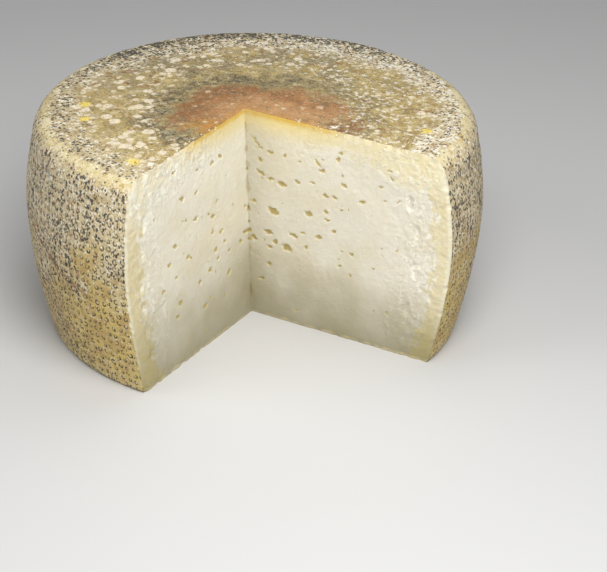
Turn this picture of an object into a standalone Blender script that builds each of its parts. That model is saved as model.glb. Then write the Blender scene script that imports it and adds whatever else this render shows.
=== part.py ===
"""A pressed wheel of hard cheese with a quarter cut out of it, as one closed solid.

Metres, +Z up. The origin is the middle of the wheel's flat base, on the axis of the full wheel.
The two cut walls meet near the axis: one runs along +X, the other along -Y.
"""

from math import cos, hypot, pi, radians, sin, sqrt, tau

import bmesh
import bpy
import numpy as np
from mathutils import Matrix, Vector, noise

# The wheel
WHEEL_RADIUS = 0.130
WHEEL_HEIGHT = 0.1265
WIDEST_HEIGHT = 0.0738  # where the barrel side stands out furthest
BASE_RADIUS = 0.1181  # the side carried down to the floor
SHOULDER_RADIUS = 0.1252  # the side where the top's rounding starts
SHOULDER_ROUND = 0.0134
BASE_ROUND = 0.0032
LOWER_SIDE_POWER = 1.7
UPPER_SIDE_POWER = 2.0
TOP_CROWN = 0.0012  # how much the top rises to its middle
WHEEL_STEPS = 96
TOP_RINGS = 8
SHOULDER_POINTS = 5
UPPER_SIDE_POINTS = 4
LOWER_SIDE_POINTS = 7
BASE_ROUND_POINTS = 3
BASE_RINGS = 2

# The slight unevenness of a pressed, brushed rind
RIND_LUMP = 0.0007
RIND_LUMP_SIZE = 0.024
RIND_PIT = 0.0004
RIND_PIT_SIZE = 0.009
RIND_CALM_HEIGHT = 0.012  # the unevenness dies out over this height above the base
RIND_SEED = Vector((3.1, 7.7, 1.9))

# The quarter that is cut out: its inner corner at the base and at the top
CORNER_AT_BASE = Vector((0.0021, -0.0072, 0.0))
CORNER_AT_TOP = Vector((-0.0020, -0.0083, WHEEL_HEIGHT))
CUT_REACH = 0.160  # the cutter's length along each wall, past the rind
CUT_MARGIN = 0.010  # how far it runs past the base and the top
CUT_GRID = 17
CUT_WAVE = 0.0005
CUT_WAVE_SIZE = 0.021
CUT_CRUMB = 0.00025
CUT_CRUMB_SIZE = 0.006
CUT_SEED = Vector((5.3, 0.4, 9.2))
TOUCHING = 0.000001

# The eyes, the small holes in the paste. Each is
# (distance from the inner corner, height, half length, half height, turn in degrees).
MM = 0.001
WALL_ALONG_X_EYES = (
    (6, 108, 3.4, 1.0, 40), (16, 105, 1.6, 1.2, 0), (25, 105, 1.5, 1.1, 20),
    (9, 99, 1.5, 1.2, 0), (8, 91, 2.4, 1.1, 5), (15, 89, 1.9, 1.4, 0),
    (22, 87.5, 2.8, 1.9, 10), (33, 91, 2.2, 1.1, -15), (43, 93, 1.6, 1.2, 30),
    (48, 104, 3.0, 1.2, 45), (59, 111, 2.2, 1.2, 15), (63, 96, 2.6, 1.2, -20),
    (51, 87, 1.9, 1.4, 0), (57, 87, 1.6, 1.2, 0), (75, 89, 2.6, 1.3, 10),
    (86, 101, 1.7, 1.2, 0), (16, 69, 2.6, 2.0, 15), (21, 68, 1.7, 1.3, 0),
    (40, 73, 2.9, 1.8, -10), (51, 77, 1.9, 1.3, 0), (52, 72, 1.8, 1.4, 0),
    (12, 54, 2.2, 1.7, 0), (29, 57, 2.4, 1.8, 20), (46, 60, 2.2, 1.4, 0),
    (17, 49.5, 1.8, 1.6, 0), (25, 48, 3.1, 2.2, 0), (13, 34, 2.0, 1.4, 25),
    (7, 23.5, 1.8, 1.2, 0), (56, 66, 1.7, 1.2, 0), (66, 41, 1.8, 1.3, 0),
)
WALL_ALONG_Y_EYES = (
    (27, 109, 2.2, 1.3, 30), (35, 108, 2.0, 1.2, -20), (66, 99, 2.6, 1.6, 10),
    (52, 97, 1.8, 1.3, 0), (54, 82, 2.1, 1.6, 0), (36, 76, 2.4, 1.7, 20),
    (37, 67, 2.0, 1.5, 0), (29, 64, 1.9, 1.4, 0), (75, 74, 2.6, 1.6, -15),
    (35, 55, 2.2, 1.5, 10), (9, 49, 2.0, 2.0, 0), (63, 62, 2.1, 1.4, 0),
    (81, 65, 1.9, 1.4, 0), (33, 49, 1.7, 1.3, 0), (41, 45, 2.3, 1.5, 20),
    (52, 42, 1.8, 1.4, 0), (48, 25, 2.5, 1.6, 0), (72, 38, 2.2, 1.6, 10),
    (75, 31, 1.7, 1.3, 0), (22, 35, 2.2, 1.5, -25), (88, 52, 1.9, 1.3, 0),
)
# Eyes in the inner corner itself: (height, half width, half height)
CORNER_EYES = ((93, 2.0, 3.4), (80, 2.4, 2.6), (67, 2.1, 3.0), (55, 2.6, 2.4), (41, 2.2, 3.4), (12, 1.9, 2.6))
EYE_SINK = 0.25  # how far an eye's middle lies behind the cut, in its own half depths
ROUND_EYE_FROM = 2.4  # half length from which an eye gets more faces

# Shallow scoops where flakes broke out beside the rind, written like the eyes
WALL_ALONG_X_FLAKES = (
    (104, 96, 2.6, 5.0, 8), (108, 78, 2.2, 6.0, -6), (107, 55, 2.4, 5.5, 5),
    (102, 30, 2.2, 5.0, -8),
)
WALL_ALONG_Y_FLAKES = (
    (103, 99, 2.8, 5.0, 12), (106, 84, 2.4, 6.0, -6), (108, 66, 2.8, 6.5, 4),
    (107, 50, 2.4, 5.0, -8), (105, 36, 2.6, 6.0, 6), (102, 20, 2.2, 4.5, -5),
)
FLAKE_DEPTH = 1.1
FLAKE_SINK = -0.35  # a flake's middle lies in front of the cut, so the scoop is shallow

# Chips along the edges where the cut meets the rind
CHIP_SPACING = 0.0075
CHIP_SHARE = 0.7  # how many of the places hold a chip
CHIP_SHIFT = 0.4  # how far a chip slides along the edge, in spacings
CHIP_SIZES = (0.0009, 0.0023)
CHIP_UNLIKENESS = (0.6, 1.3)
CHIP_CLEARANCE = 0.008  # chips keep this far from the inner corner and from the rim
CHIP_SEED = 41

# The finishes
PASTE_COLOUR = (0.76, 0.69, 0.52, 1.0)
PASTE_ROUGHNESS = 0.45
RIND_COLOUR = (0.47, 0.35, 0.16, 1.0)
RIND_ROUGHNESS = 0.6
CUT_PAINT_DEPTH = 0.004  # faces this close to the cut can be paste
RIND_PAINT_DEPTH = 0.002  # except within this of the side
CUT_PAINT_TILT = pi / 3


def clear_scene():
    for thing in list(bpy.data.objects):
        bpy.data.objects.remove(thing, do_unlink=True)


def new_collection(name, hidden=False):
    collection = bpy.data.collections.new(name)
    collection.hide_render = hidden
    bpy.context.scene.collection.children.link(collection)
    return collection


def principled(name, colour, roughness):
    material = bpy.data.materials.new(name)
    material.use_nodes = True
    shader = material.node_tree.nodes["Principled BSDF"]
    shader.inputs["Base Color"].default_value = colour
    shader.inputs["Roughness"].default_value = roughness
    shader.inputs["Metallic"].default_value = 0.0
    material.diffuse_color = colour
    return material


def object_from(bm, name, collection):
    mesh = bpy.data.meshes.new(name)
    bm.to_mesh(mesh)
    bm.free()
    made = bpy.data.objects.new(name, mesh)
    collection.objects.link(made)
    return made


def side_radius(height):
    """The barrel side's radius at a height, between the base and the shoulder."""
    if height < WIDEST_HEIGHT:
        below = (WIDEST_HEIGHT - height) / WIDEST_HEIGHT
        return WHEEL_RADIUS - (WHEEL_RADIUS - BASE_RADIUS) * below**LOWER_SIDE_POWER
    above = (height - WIDEST_HEIGHT) / (WHEEL_HEIGHT - SHOULDER_ROUND - WIDEST_HEIGHT)
    return WHEEL_RADIUS - (WHEEL_RADIUS - SHOULDER_RADIUS) * above**UPPER_SIDE_POWER


def top_height(radius):
    """The crowned top's height at a radius."""
    flat_radius = SHOULDER_RADIUS - SHOULDER_ROUND
    return WHEEL_HEIGHT + TOP_CROWN * max(0.0, 1 - (radius / flat_radius) ** 2)


def wheel_profile():
    """Points (radius, height) from the middle of the top, down the side, to the middle of the base."""
    flat_radius = SHOULDER_RADIUS - SHOULDER_ROUND
    points = []
    for radius in np.linspace(0, flat_radius, TOP_RINGS + 1):
        points.append((radius, top_height(radius)))
    shoulder_height = WHEEL_HEIGHT - SHOULDER_ROUND
    for angle in np.linspace(pi / 2, 0, SHOULDER_POINTS + 1)[1:]:
        out, up = SHOULDER_ROUND * cos(angle), SHOULDER_ROUND * sin(angle)
        points.append((flat_radius + out, shoulder_height + up))
    for height in np.linspace(shoulder_height, WIDEST_HEIGHT, UPPER_SIDE_POINTS + 1)[1:]:
        points.append((side_radius(height), height))
    for height in np.linspace(WIDEST_HEIGHT, BASE_ROUND, LOWER_SIDE_POINTS + 1)[1:]:
        points.append((side_radius(height), height))
    foot_radius = side_radius(BASE_ROUND) - BASE_ROUND
    for angle in np.linspace(0, pi / 2, BASE_ROUND_POINTS + 1)[1:]:
        points.append((foot_radius + BASE_ROUND * cos(angle), BASE_ROUND * (1 - sin(angle))))
    for radius in np.linspace(foot_radius, 0, BASE_RINGS + 1)[1:]:
        points.append((radius, 0.0))
    return points


def turned(name, points, steps, collection):
    """The profile spun round Z by a Screw modifier and applied."""
    bm = bmesh.new()
    corners = [bm.verts.new((radius, 0, height)) for radius, height in points]
    for upper, lower in zip(corners, corners[1:]):
        bm.edges.new((upper, lower))
    blank = object_from(bm, name + "_profile", collection)
    screw = blank.modifiers.new("turn", "SCREW")
    screw.axis = "Z"
    screw.angle = tau
    screw.steps = steps
    screw.render_steps = steps
    screw.use_merge_vertices = True
    screw.merge_threshold = TOUCHING
    return applied(blank, name, collection)


def applied(blank, name, collection):
    """A plain mesh object of what the blank's modifiers make. The blank is removed."""
    bpy.context.view_layer.update()
    graph = bpy.context.evaluated_depsgraph_get()
    mesh = bpy.data.meshes.new_from_object(blank.evaluated_get(graph))
    mesh.name = name
    bpy.data.objects.remove(blank, do_unlink=True)
    made = bpy.data.objects.new(name, mesh)
    collection.objects.link(made)
    return made


def add_rind_unevenness(wheel):
    """Low lumps and shallow pits, pushed along the surface. The base stays flat."""
    mesh = wheel.data
    normals = [vertex.normal.copy() for vertex in mesh.vertices]
    for vertex, normal in zip(mesh.vertices, normals):
        calm = min(1.0, max(0.0, vertex.co.z / RIND_CALM_HEIGHT))
        lump = noise.noise(vertex.co / RIND_LUMP_SIZE + RIND_SEED)
        pit = noise.noise(vertex.co / RIND_PIT_SIZE - RIND_SEED)
        vertex.co += normal * calm * (RIND_LUMP * lump - RIND_PIT * max(0.0, pit))
    mesh.update()


def corner_at(height):
    """The inner corner of the cut at a height."""
    return CORNER_AT_BASE.lerp(CORNER_AT_TOP, height / WHEEL_HEIGHT)


def quarter_cutter(collection):
    """A block over the missing quarter. It leans with the cut, and its two inner faces are slightly wavy."""
    bm = bmesh.new()
    bmesh.ops.create_cube(bm, size=1.0)
    bmesh.ops.subdivide_edges(bm, edges=bm.edges[:], cuts=CUT_GRID, use_grid_fill=True)
    size = Matrix.Diagonal((CUT_REACH, CUT_REACH, WHEEL_HEIGHT + 2 * CUT_MARGIN, 1.0))
    middle = Matrix.Translation((CUT_REACH / 2, -CUT_REACH / 2, WHEEL_HEIGHT / 2))
    bmesh.ops.transform(bm, matrix=middle @ size, verts=bm.verts)
    for vertex in bm.verts:
        on_y_wall = abs(vertex.co.x) < TOUCHING
        on_x_wall = abs(vertex.co.y) < TOUCHING
        wave = CUT_WAVE * noise.noise(vertex.co / CUT_WAVE_SIZE + CUT_SEED)
        wave += CUT_CRUMB * noise.noise(vertex.co / CUT_CRUMB_SIZE + CUT_SEED)
        vertex.co += Vector((wave * on_y_wall, wave * on_x_wall, 0.0))
        vertex.co += corner_at(vertex.co.z) * Vector((1, 1, 0))
    return object_from(bm, "quarter_cutter", collection)


def add_blob(bm, centre, half_sizes, turn, about, subdivisions=1):
    """A squashed ball, turned about an axis, added to bm."""
    size = Matrix.Diagonal((*half_sizes, 1.0))
    placed = Matrix.Translation(centre) @ Matrix.Rotation(turn, 4, about) @ size
    bmesh.ops.create_icosphere(bm, subdivisions=subdivisions, radius=1.0, matrix=placed)


def add_hollow(bm, wall, along, height, half_sizes, turn, sink):
    """A squashed ball let into a cut wall, with half_sizes = (length, depth, height)."""
    length, depth, tall = half_sizes
    fineness = 2 if max(length, tall) >= ROUND_EYE_FROM * MM else 1
    corner = corner_at(height)
    if wall == "along_x":
        centre = corner + Vector((along, sink * depth, 0))
        add_blob(bm, centre, (length, depth, tall), -radians(turn), "Y", fineness)
    else:
        centre = corner + Vector((-sink * depth, -along, 0))
        add_blob(bm, centre, (depth, length, tall), radians(turn), "X", fineness)


def eye_cutter(collection):
    """The eyes of both cut walls and those of the inner corner."""
    bm = bmesh.new()
    for wall, eyes in (("along_x", WALL_ALONG_X_EYES), ("along_y", WALL_ALONG_Y_EYES)):
        for along, height, half_length, half_height, turn in eyes:
            half_sizes = (half_length * MM, half_height * MM, half_height * MM)
            add_hollow(bm, wall, along * MM, height * MM, half_sizes, turn, EYE_SINK)
    for height, half_width, half_height in CORNER_EYES:
        sizes = (half_width * MM, half_width * MM, half_height * MM)
        add_blob(bm, corner_at(height * MM), sizes, 0.0, "Z")
    return object_from(bm, "eye_cutter", collection)


def flake_cutter(collection):
    """The scoops beside the rind."""
    bm = bmesh.new()
    for wall, flakes in (("along_x", WALL_ALONG_X_FLAKES), ("along_y", WALL_ALONG_Y_FLAKES)):
        for along, height, half_length, half_height, turn in flakes:
            half_sizes = (half_length * MM, FLAKE_DEPTH * MM, half_height * MM)
            add_hollow(bm, wall, along * MM, height * MM, half_sizes, turn, FLAKE_SINK)
    return object_from(bm, "flake_cutter", collection)


def rim_reach(height, across):
    """How far from the wheel's axis a wall meets the rind at this height."""
    return sqrt(side_radius(height) ** 2 - across**2)


def chip_places(draw):
    """Points along the cut's edges: both top edges, both bottom edges and both side edges."""
    base_reach = BASE_RADIUS - CHIP_CLEARANCE
    top_reach = SHOULDER_RADIUS - CHIP_CLEARANCE
    places = []
    for reach, height in ((top_reach, WHEEL_HEIGHT), (base_reach, 0.0)):
        for along in np.arange(CHIP_CLEARANCE, reach, CHIP_SPACING):
            for wall in (Vector((1, 0, 0)), Vector((0, -1, 0))):
                step = along + draw.uniform(-CHIP_SHIFT, CHIP_SHIFT) * CHIP_SPACING
                crown = top_height(step) - WHEEL_HEIGHT if height > 0 else 0.0
                places.append(corner_at(height) + wall * step + Vector((0, 0, crown)))
    low, high = 2 * CHIP_CLEARANCE, WHEEL_HEIGHT - SHOULDER_ROUND
    for height in np.arange(low, high, CHIP_SPACING):
        level = height + draw.uniform(-CHIP_SHIFT, CHIP_SHIFT) * CHIP_SPACING
        corner = corner_at(level)
        places.append(Vector((rim_reach(level, corner.y), corner.y, level)))
        places.append(Vector((corner.x, -rim_reach(level, corner.x), level)))
    return [place for place in places if draw.random() < CHIP_SHARE]


def chip_cutter(collection):
    draw = np.random.default_rng(CHIP_SEED)
    bm = bmesh.new()
    for place in chip_places(draw):
        size = draw.uniform(*CHIP_SIZES)
        sizes = [size * draw.uniform(*CHIP_UNLIKENESS) for _ in range(3)]
        add_blob(bm, place, sizes, draw.uniform(0, pi), "Z")
    return object_from(bm, "chip_cutter", collection)


def cut_with(wheel, cutter, collection):
    """The wheel less the cutter, which stays in its own collection as a guide."""
    cutter.hide_render = True
    cutter.display_type = "WIRE"
    name = wheel.name
    boolean = wheel.modifiers.new(cutter.name, "BOOLEAN")
    boolean.operation = "DIFFERENCE"
    boolean.solver = "EXACT"
    boolean.use_self = True  # the eyes may cross each other
    boolean.object = cutter
    return applied(wheel, name, collection)


def paint(wheel):
    """The rind's material outside and the paste's on the cut walls."""
    wheel.data.materials.clear()
    wheel.data.materials.append(principled("rind", RIND_COLOUR, RIND_ROUGHNESS))
    wheel.data.materials.append(principled("paste", PASTE_COLOUR, PASTE_ROUGHNESS))
    for face in wheel.data.polygons:
        middle, corner = face.center, corner_at(face.center.z)
        within_rind = hypot(middle.x, middle.y) < side_radius(middle.z) - RIND_PAINT_DEPTH
        beside_cut = middle.x > corner.x - CUT_PAINT_DEPTH and middle.y < corner.y + CUT_PAINT_DEPTH
        upright = abs(face.normal.z) < sin(CUT_PAINT_TILT)
        face.material_index = int(within_rind and beside_cut and upright)


def main():
    clear_scene()
    parts = new_collection("cheese_wheel")
    cutters = new_collection("cutters", hidden=True)
    wheel = turned("cheese_wheel", wheel_profile(), WHEEL_STEPS, parts)
    add_rind_unevenness(wheel)
    for make_cutter in (quarter_cutter, flake_cutter, eye_cutter, chip_cutter):
        wheel = cut_with(wheel, make_cutter(cutters), parts)
    paint(wheel)
    wheel.data.shade_smooth()
    wheel.data.set_sharp_from_angle(angle=pi / 6)


main()
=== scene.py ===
from math import cos, pi, radians, sin, tau

import bpy
import numpy as np
from mathutils import Matrix, Vector, noise


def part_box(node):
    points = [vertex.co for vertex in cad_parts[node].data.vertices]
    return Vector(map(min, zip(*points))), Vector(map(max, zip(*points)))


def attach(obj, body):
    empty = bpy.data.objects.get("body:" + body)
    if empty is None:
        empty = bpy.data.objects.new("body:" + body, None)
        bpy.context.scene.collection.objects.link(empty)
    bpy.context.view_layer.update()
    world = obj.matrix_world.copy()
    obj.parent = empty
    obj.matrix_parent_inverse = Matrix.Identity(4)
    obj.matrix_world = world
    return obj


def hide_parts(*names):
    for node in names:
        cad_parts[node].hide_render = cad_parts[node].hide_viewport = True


# A wheel of hard cheese with a quarter cut out. Lengths are metres, and patterns are worked out in mm.
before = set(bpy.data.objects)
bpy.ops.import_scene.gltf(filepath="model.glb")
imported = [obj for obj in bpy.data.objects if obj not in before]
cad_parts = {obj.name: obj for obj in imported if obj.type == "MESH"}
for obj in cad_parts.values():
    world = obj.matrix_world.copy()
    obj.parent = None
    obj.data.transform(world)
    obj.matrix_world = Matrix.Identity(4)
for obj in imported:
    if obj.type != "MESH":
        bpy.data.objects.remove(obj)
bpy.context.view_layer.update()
nodeLow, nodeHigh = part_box("cheese_wheel")
mm = 0.001

wheelRadius = (nodeHigh[1] - nodeLow[1]) / 2
wheel = {
    "height": 0.9735 * wheelRadius,
    "widest": 0.568 * wheelRadius,  # height of the fullest girth
    "baseRadius": 0.909 * wheelRadius,
    "shoulderRadius": 0.9635 * wheelRadius,
    "shoulderRound": 0.1028 * wheelRadius,
    "baseRound": 0.0246 * wheelRadius,
    "lowerPower": 1.7,
    "upperPower": 2.0,
    "crown": 1.2 * mm,
    "cornerAtBase": (2.1 * mm, -7.2 * mm),  # where the two cut walls meet
    "cornerAtTop": (-2.0 * mm, -8.3 * mm),
    "profileSteps": (60, 300, 20),  # points on the shoulder, the side and the foot
}
flatRadius = wheel["shoulderRadius"] - wheel["shoulderRound"]
shoulderHeight = wheel["height"] - wheel["shoulderRound"]
threeQuarters = 1.5 * pi
print("frame loaded, wheel radius", round(wheelRadius, 4))


# The wheel's form
def sideRadius(height):
    below = np.clip((wheel["widest"] - height) / wheel["widest"], 0, 1)
    above = np.clip((height - wheel["widest"]) / (shoulderHeight - wheel["widest"]), 0, 1)
    lower = (wheelRadius - wheel["baseRadius"]) * below ** wheel["lowerPower"]
    upper = (wheelRadius - wheel["shoulderRadius"]) * above ** wheel["upperPower"]
    return wheelRadius - lower - upper


def topHeight(radius):
    return wheel["height"] + wheel["crown"] * np.clip(1 - (radius / flatRadius) ** 2, 0, 1)


def cornerAt(height, inset=0.0):
    share = np.asarray(height, float)[..., None] / wheel["height"]
    low, high = np.array(wheel["cornerAtBase"]), np.array(wheel["cornerAtTop"])
    return low + (high - low) * share + inset * np.array((-1.0, 1.0))


def lengthAlong(points):
    return np.concatenate([[0], np.cumsum(np.linalg.norm(np.diff(points, axis=0), axis=1))])


def resampled(points, count):
    length = lengthAlong(points)
    wanted = np.linspace(0, length[-1], count)
    return np.stack([np.interp(wanted, length, points[:, k]) for k in range(points.shape[1])], -1)


def sideProfile(depth=0.0):  # (radius, height) from the top's rim down to the base's rim
    shoulderSteps, sideSteps, footSteps = wheel["profileSteps"]
    turns = np.linspace(pi / 2, 0, shoulderSteps)
    arc = wheel["shoulderRound"] - depth
    shoulder = np.stack([flatRadius + arc * np.cos(turns), shoulderHeight + arc * np.sin(turns)], -1)
    heights = np.linspace(shoulderHeight, wheel["baseRound"] + depth, sideSteps)[1:]
    side = np.stack([sideRadius(heights) - depth, heights], -1)
    arc = wheel["baseRound"]
    turns = np.linspace(0, pi / 2, footSteps)[1:]
    foot = np.stack([side[-1, 0] - arc + arc * np.cos(turns), depth + arc - arc * np.sin(turns)], -1)
    return np.concatenate([shoulder, side, foot])


# Patches of the wheel's skin: discs made of five fans, and strips swept round
def discNumbers(rings):
    return np.concatenate([[0], np.cumsum([5 * ring + 1 for ring in range(rings + 1)])])


def discFaces(rings):
    starts = discNumbers(rings)
    faces = []
    for ring in range(rings):
        for fan in range(5):
            near = starts[ring] + fan * ring
            far = starts[ring + 1] + fan * (ring + 1)
            faces += [(near + k, far + k, far + k + 1) for k in range(ring + 1)]
            faces += [(near + k, far + k + 1, near + k + 1) for k in range(ring)]
    return np.array(faces)


def discPlaces(rings, apex, rim):
    places = [apex[None, :]]
    for ring in range(1, rings + 1):
        turns = np.linspace(0, threeQuarters, 5 * ring + 1)
        way = np.stack([np.cos(turns), np.sin(turns)], -1)
        toward = way @ apex
        reach = np.sqrt(toward**2 - apex @ apex + rim**2) - toward
        places.append(apex + way * (reach * ring / rings)[:, None])
    return np.concatenate(places)


def discPatch(rings, rim, isTop, inset=0.0, depth=0.0):
    apex = cornerAt(wheel["height"] if isTop else 0.0, inset)
    places = discPlaces(rings, apex, rim)
    radius = np.linalg.norm(places, axis=1)
    height = topHeight(radius) - depth if isTop else np.full(len(places), depth)
    starts = discNumbers(rings)
    borders = {
        "x": starts[:-1],
        "y": starts[:-1] + 5 * np.arange(rings + 1),
        "rim": np.arange(starts[rings], starts[rings + 1]),
    }
    return np.column_stack([places, height]), discFaces(rings), borders


def sharesAt(points):  # where points on a rim lie between the two walls, from 0 to 1
    turns = np.arctan2(points[:, 1], points[:, 0])
    turns[turns < -0.3] += tau  # the wall along +X starts just below 0
    return (turns - turns[0]) / (turns[-1] - turns[0])


def sweptPatch(profile, shares, inset=0.0):
    corner = cornerAt(profile[:, 1], inset)
    start = np.arcsin(corner[:, 1] / profile[:, 0])
    end = threeQuarters + np.arcsin(corner[:, 0] / profile[:, 0])
    turns = start[:, None] + (end - start)[:, None] * shares[None, :]
    radii, heights = profile[:, :1], np.broadcast_to(profile[:, 1:], turns.shape)
    points = np.stack([radii * np.cos(turns), radii * np.sin(turns), heights], -1).reshape(-1, 3)
    numbers = np.arange(len(points)).reshape(turns.shape)
    return points, gridFaces(numbers), numbers, turns


def gridFaces(numbers):
    a, b, c, d = numbers[:-1, :-1], numbers[1:, :-1], numbers[1:, 1:], numbers[:-1, 1:]
    return np.concatenate([np.stack(trio, -1).reshape(-1, 3) for trio in ((a, b, c), (a, c, d))])


def outwardOf(profile, turns):
    along = np.gradient(profile, axis=0)
    normal = np.stack([-along[:, 1], along[:, 0]], -1)
    normal /= np.linalg.norm(normal, axis=1)[:, None]
    way = [np.cos(turns) * normal[:, :1], np.sin(turns) * normal[:, :1]]
    return np.stack([*way, np.broadcast_to(normal[:, 1:], turns.shape)], -1).reshape(-1, 3)


def facing(points, z):  # straight up or down for each point
    return np.tile((0.0, 0.0, z), (len(points), 1))


# Each patch is closed with a coarse inner side that nobody sees
def zipped(first, second, places):  # triangles between two rows of point numbers
    faces, i, j = [], 0, 0
    while i < len(first) - 1 or j < len(second) - 1:
        stepFirst = j == len(second) - 1
        if i < len(first) - 1 and not stepFirst:
            acrossFirst = np.sum((places[first[i + 1]] - places[second[j]]) ** 2)
            acrossSecond = np.sum((places[first[i]] - places[second[j + 1]]) ** 2)
            stepFirst = acrossFirst <= acrossSecond
        if stepFirst:
            faces.append((first[i], second[j], first[i + 1]))
            i += 1
        else:
            faces.append((first[i], second[j], second[j + 1]))
            j += 1
    return np.array([face for face in faces if len(set(face)) == 3])


def runsWith(faces, start, end):  # whether a face has the edge from start to end
    return bool(np.any((faces == start) & (np.roll(faces, -1, axis=1) == end)))


def joinedTo(row, otherRow, faces, places):  # a strip that faces the way its neighbour does
    strip = zipped(list(row), list(otherRow), places)
    return strip[:, ::-1] if runsWith(faces, row[1], row[0]) else strip


def turnedOut(points, faces, outward):
    a, b, c = (points[faces[:, k]] for k in range(3))
    facing = np.sum(np.cross(b - a, c - a) * outward[faces[:, 0]])
    return faces if facing > 0 else faces[:, ::-1]


def closedShell(points, faces, innerPoints, innerFaces, seams):  # seams are pairs of border rows
    places = np.concatenate([points, innerPoints])
    offset = len(points)
    strips = [joinedTo(row, np.asarray(innerRow) + offset, faces, places) for row, innerRow in seams]
    return places, np.concatenate([faces, innerFaces + offset, *strips])


def placed(name, data):
    made = bpy.data.objects.new(name, data)
    bpy.context.scene.collection.objects.link(made)
    return made


def meshObject(name, points, faces, fields):
    mesh = bpy.data.meshes.new(name)
    mesh.vertices.add(len(points))
    mesh.vertices.foreach_set("co", np.asarray(points, np.float32).ravel())
    mesh.loops.add(3 * len(faces))
    mesh.loops.foreach_set("vertex_index", np.asarray(faces, np.int32).ravel())
    mesh.polygons.add(len(faces))
    mesh.polygons.foreach_set("loop_start", np.arange(0, 3 * len(faces), 3, dtype=np.int32))
    mesh.update(calc_edges=True)
    mesh.validate()
    for field, values in fields.items():
        values = np.asarray(values, np.float32)
        kind, slot = ("FLOAT_VECTOR", "vector") if values.ndim == 2 else ("FLOAT", "value")
        full = np.zeros((len(points), *values.shape[1:]), np.float32)
        full[: len(values)] = values
        mesh.attributes.new(field, kind, "POINT").data.foreach_set(slot, full.ravel())
    mesh.shade_smooth()
    return placed(name, mesh)


# Chips and small waves along the cut's edges
edges = {
    "wave": 0.3 * mm,
    "waveSize": 5.5 * mm,
    "waveLift": 0.4,
    "chipSpacing": 4.0 * mm,
    "chipDepth": (0.2 * mm, 1.2 * mm),
    "chipWidth": (0.6 * mm, 2.2 * mm),
    "chipRarity": 2.5,  # a higher power makes the deep chips rarer
    "reach": 3.6 * mm,  # how far in a chip's slope goes
    "deepest": 0.42,  # in reaches
    "calmApex": (30 * mm, 60 * mm),  # the edges are crisper towards the inner corner
    "calmest": 0.12,
    "rowLength": 0.14,
    "rowStep": 0.2 * mm,
    "seed": 12,
}


def edgeRow(draw):
    places = np.arange(0, edges["rowLength"], edges["rowStep"])
    offset = draw.uniform(0, 100)
    waves = np.array([noise.noise(Vector((place / edges["waveSize"], offset, 0))) for place in places])
    shift = edges["wave"] * (edges["waveLift"] + waves)
    shallow, deep = edges["chipDepth"]
    for middle in np.arange(0, edges["rowLength"], edges["chipSpacing"]):
        middle += draw.uniform(-0.5, 0.5) * edges["chipSpacing"]
        width = draw.uniform(*edges["chipWidth"])
        depth = shallow + draw.random() ** edges["chipRarity"] * (deep - shallow)
        shift += depth * np.sqrt(np.clip(1 - ((places - middle) / width) ** 2, 0, 1))
    return places, np.clip(shift, 0, edges["deepest"] * edges["reach"])


edgeDraw = np.random.default_rng(edges["seed"])
edgeRows = {(wall, edge): edgeRow(edgeDraw) for wall in "xy" for edge in ("top", "side", "base")}


def edgeShift(wall, along, height, topShare, baseShare):
    top = topShare * np.interp(along, *edgeRows[wall, "top"])
    base = baseShare * np.interp(along, *edgeRows[wall, "base"])
    side = (1 - topShare - baseShare) * np.interp(height, *edgeRows[wall, "side"])
    calmNear, calmFar = edges["calmApex"]
    calm = np.clip((along - calmNear) / (calmFar - calmNear), edges["calmest"], 1)
    return (top + base + side) * calm * (along > 0)


def rindShares(points):  # how much a point on the rind belongs to the top's edge and to the base's
    radius = np.linalg.norm(points[:, :2], axis=1)
    inside = radius < flatRadius
    high = points[:, 2] > wheel["widest"]
    top = np.clip((points[:, 2] - shoulderHeight) / wheel["shoulderRound"], 0, 1) ** 2
    base = np.clip(1 - points[:, 2] / wheel["baseRound"], 0, 1) ** 2
    top[inside] = high[inside]
    base[inside] = ~high[inside]
    return top, base


def followEdges(points):  # the rind gives way where the cut's edge is chipped
    top, base = rindShares(points)
    corner = cornerAt(points[:, 2])
    alongX, fromX = points[:, 0] - corner[:, 0], points[:, 1] - corner[:, 1]
    alongY, fromY = -fromX, -alongX
    moved = points.copy()
    shareX = np.where(alongX > 0, np.clip(1 - fromX / edges["reach"], 0, 1) ** 2, 0)
    shareY = np.where(alongY > 0, np.clip(1 - fromY / edges["reach"], 0, 1) ** 2, 0)
    moved[:, 1] += shareX * edgeShift("x", alongX, points[:, 2], top, base)
    moved[:, 0] -= shareY * edgeShift("y", alongY, points[:, 2], top, base)
    radius = np.linalg.norm(points[:, :2], axis=1)
    movedRadius = np.linalg.norm(moved[:, :2], axis=1)
    onSide = radius > 0.9 * flatRadius
    moved[onSide, :2] *= (radius[onSide] / movedRadius[onSide])[:, None]
    distance = np.where(alongX > 0, fromX, np.where(alongY > 0, fromY, np.hypot(fromX, fromY)))
    return moved, distance


# The rind
rind = {
    "topRings": 190,
    "baseRings": 60,
    "rows": 226,
    "sidePieces": 3,
    "thickness": 4.0 * mm,
    "inset": 3.0 * mm,
    "innerRim": 1.0 * mm,  # how far inside the rim the top's inner side ends
    "innerRings": 14,
    "innerRows": 12,
    "innerColumns": 30,
    "innerGap": 0.002,  # keeps the inner sides of two neighbours apart
    "calmBesideCut": 2.2 * mm,
    "calmAboveFloor": 5.0 * mm,
    "pipsAround": 168,  # basket marks on the full girth
    "baseHollow": 0.5 * mm,
}
pitch = tau * wheelRadius / rind["pipsAround"]


def rindFields(points, distance, outward, lattice):
    calm = np.clip(distance / rind["calmBesideCut"], 0, 1)
    calm = calm * np.clip(points[:, 2] / rind["calmAboveFloor"], 0, 1)
    return {"outward": outward, "calm": calm, "lattice": lattice}


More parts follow.
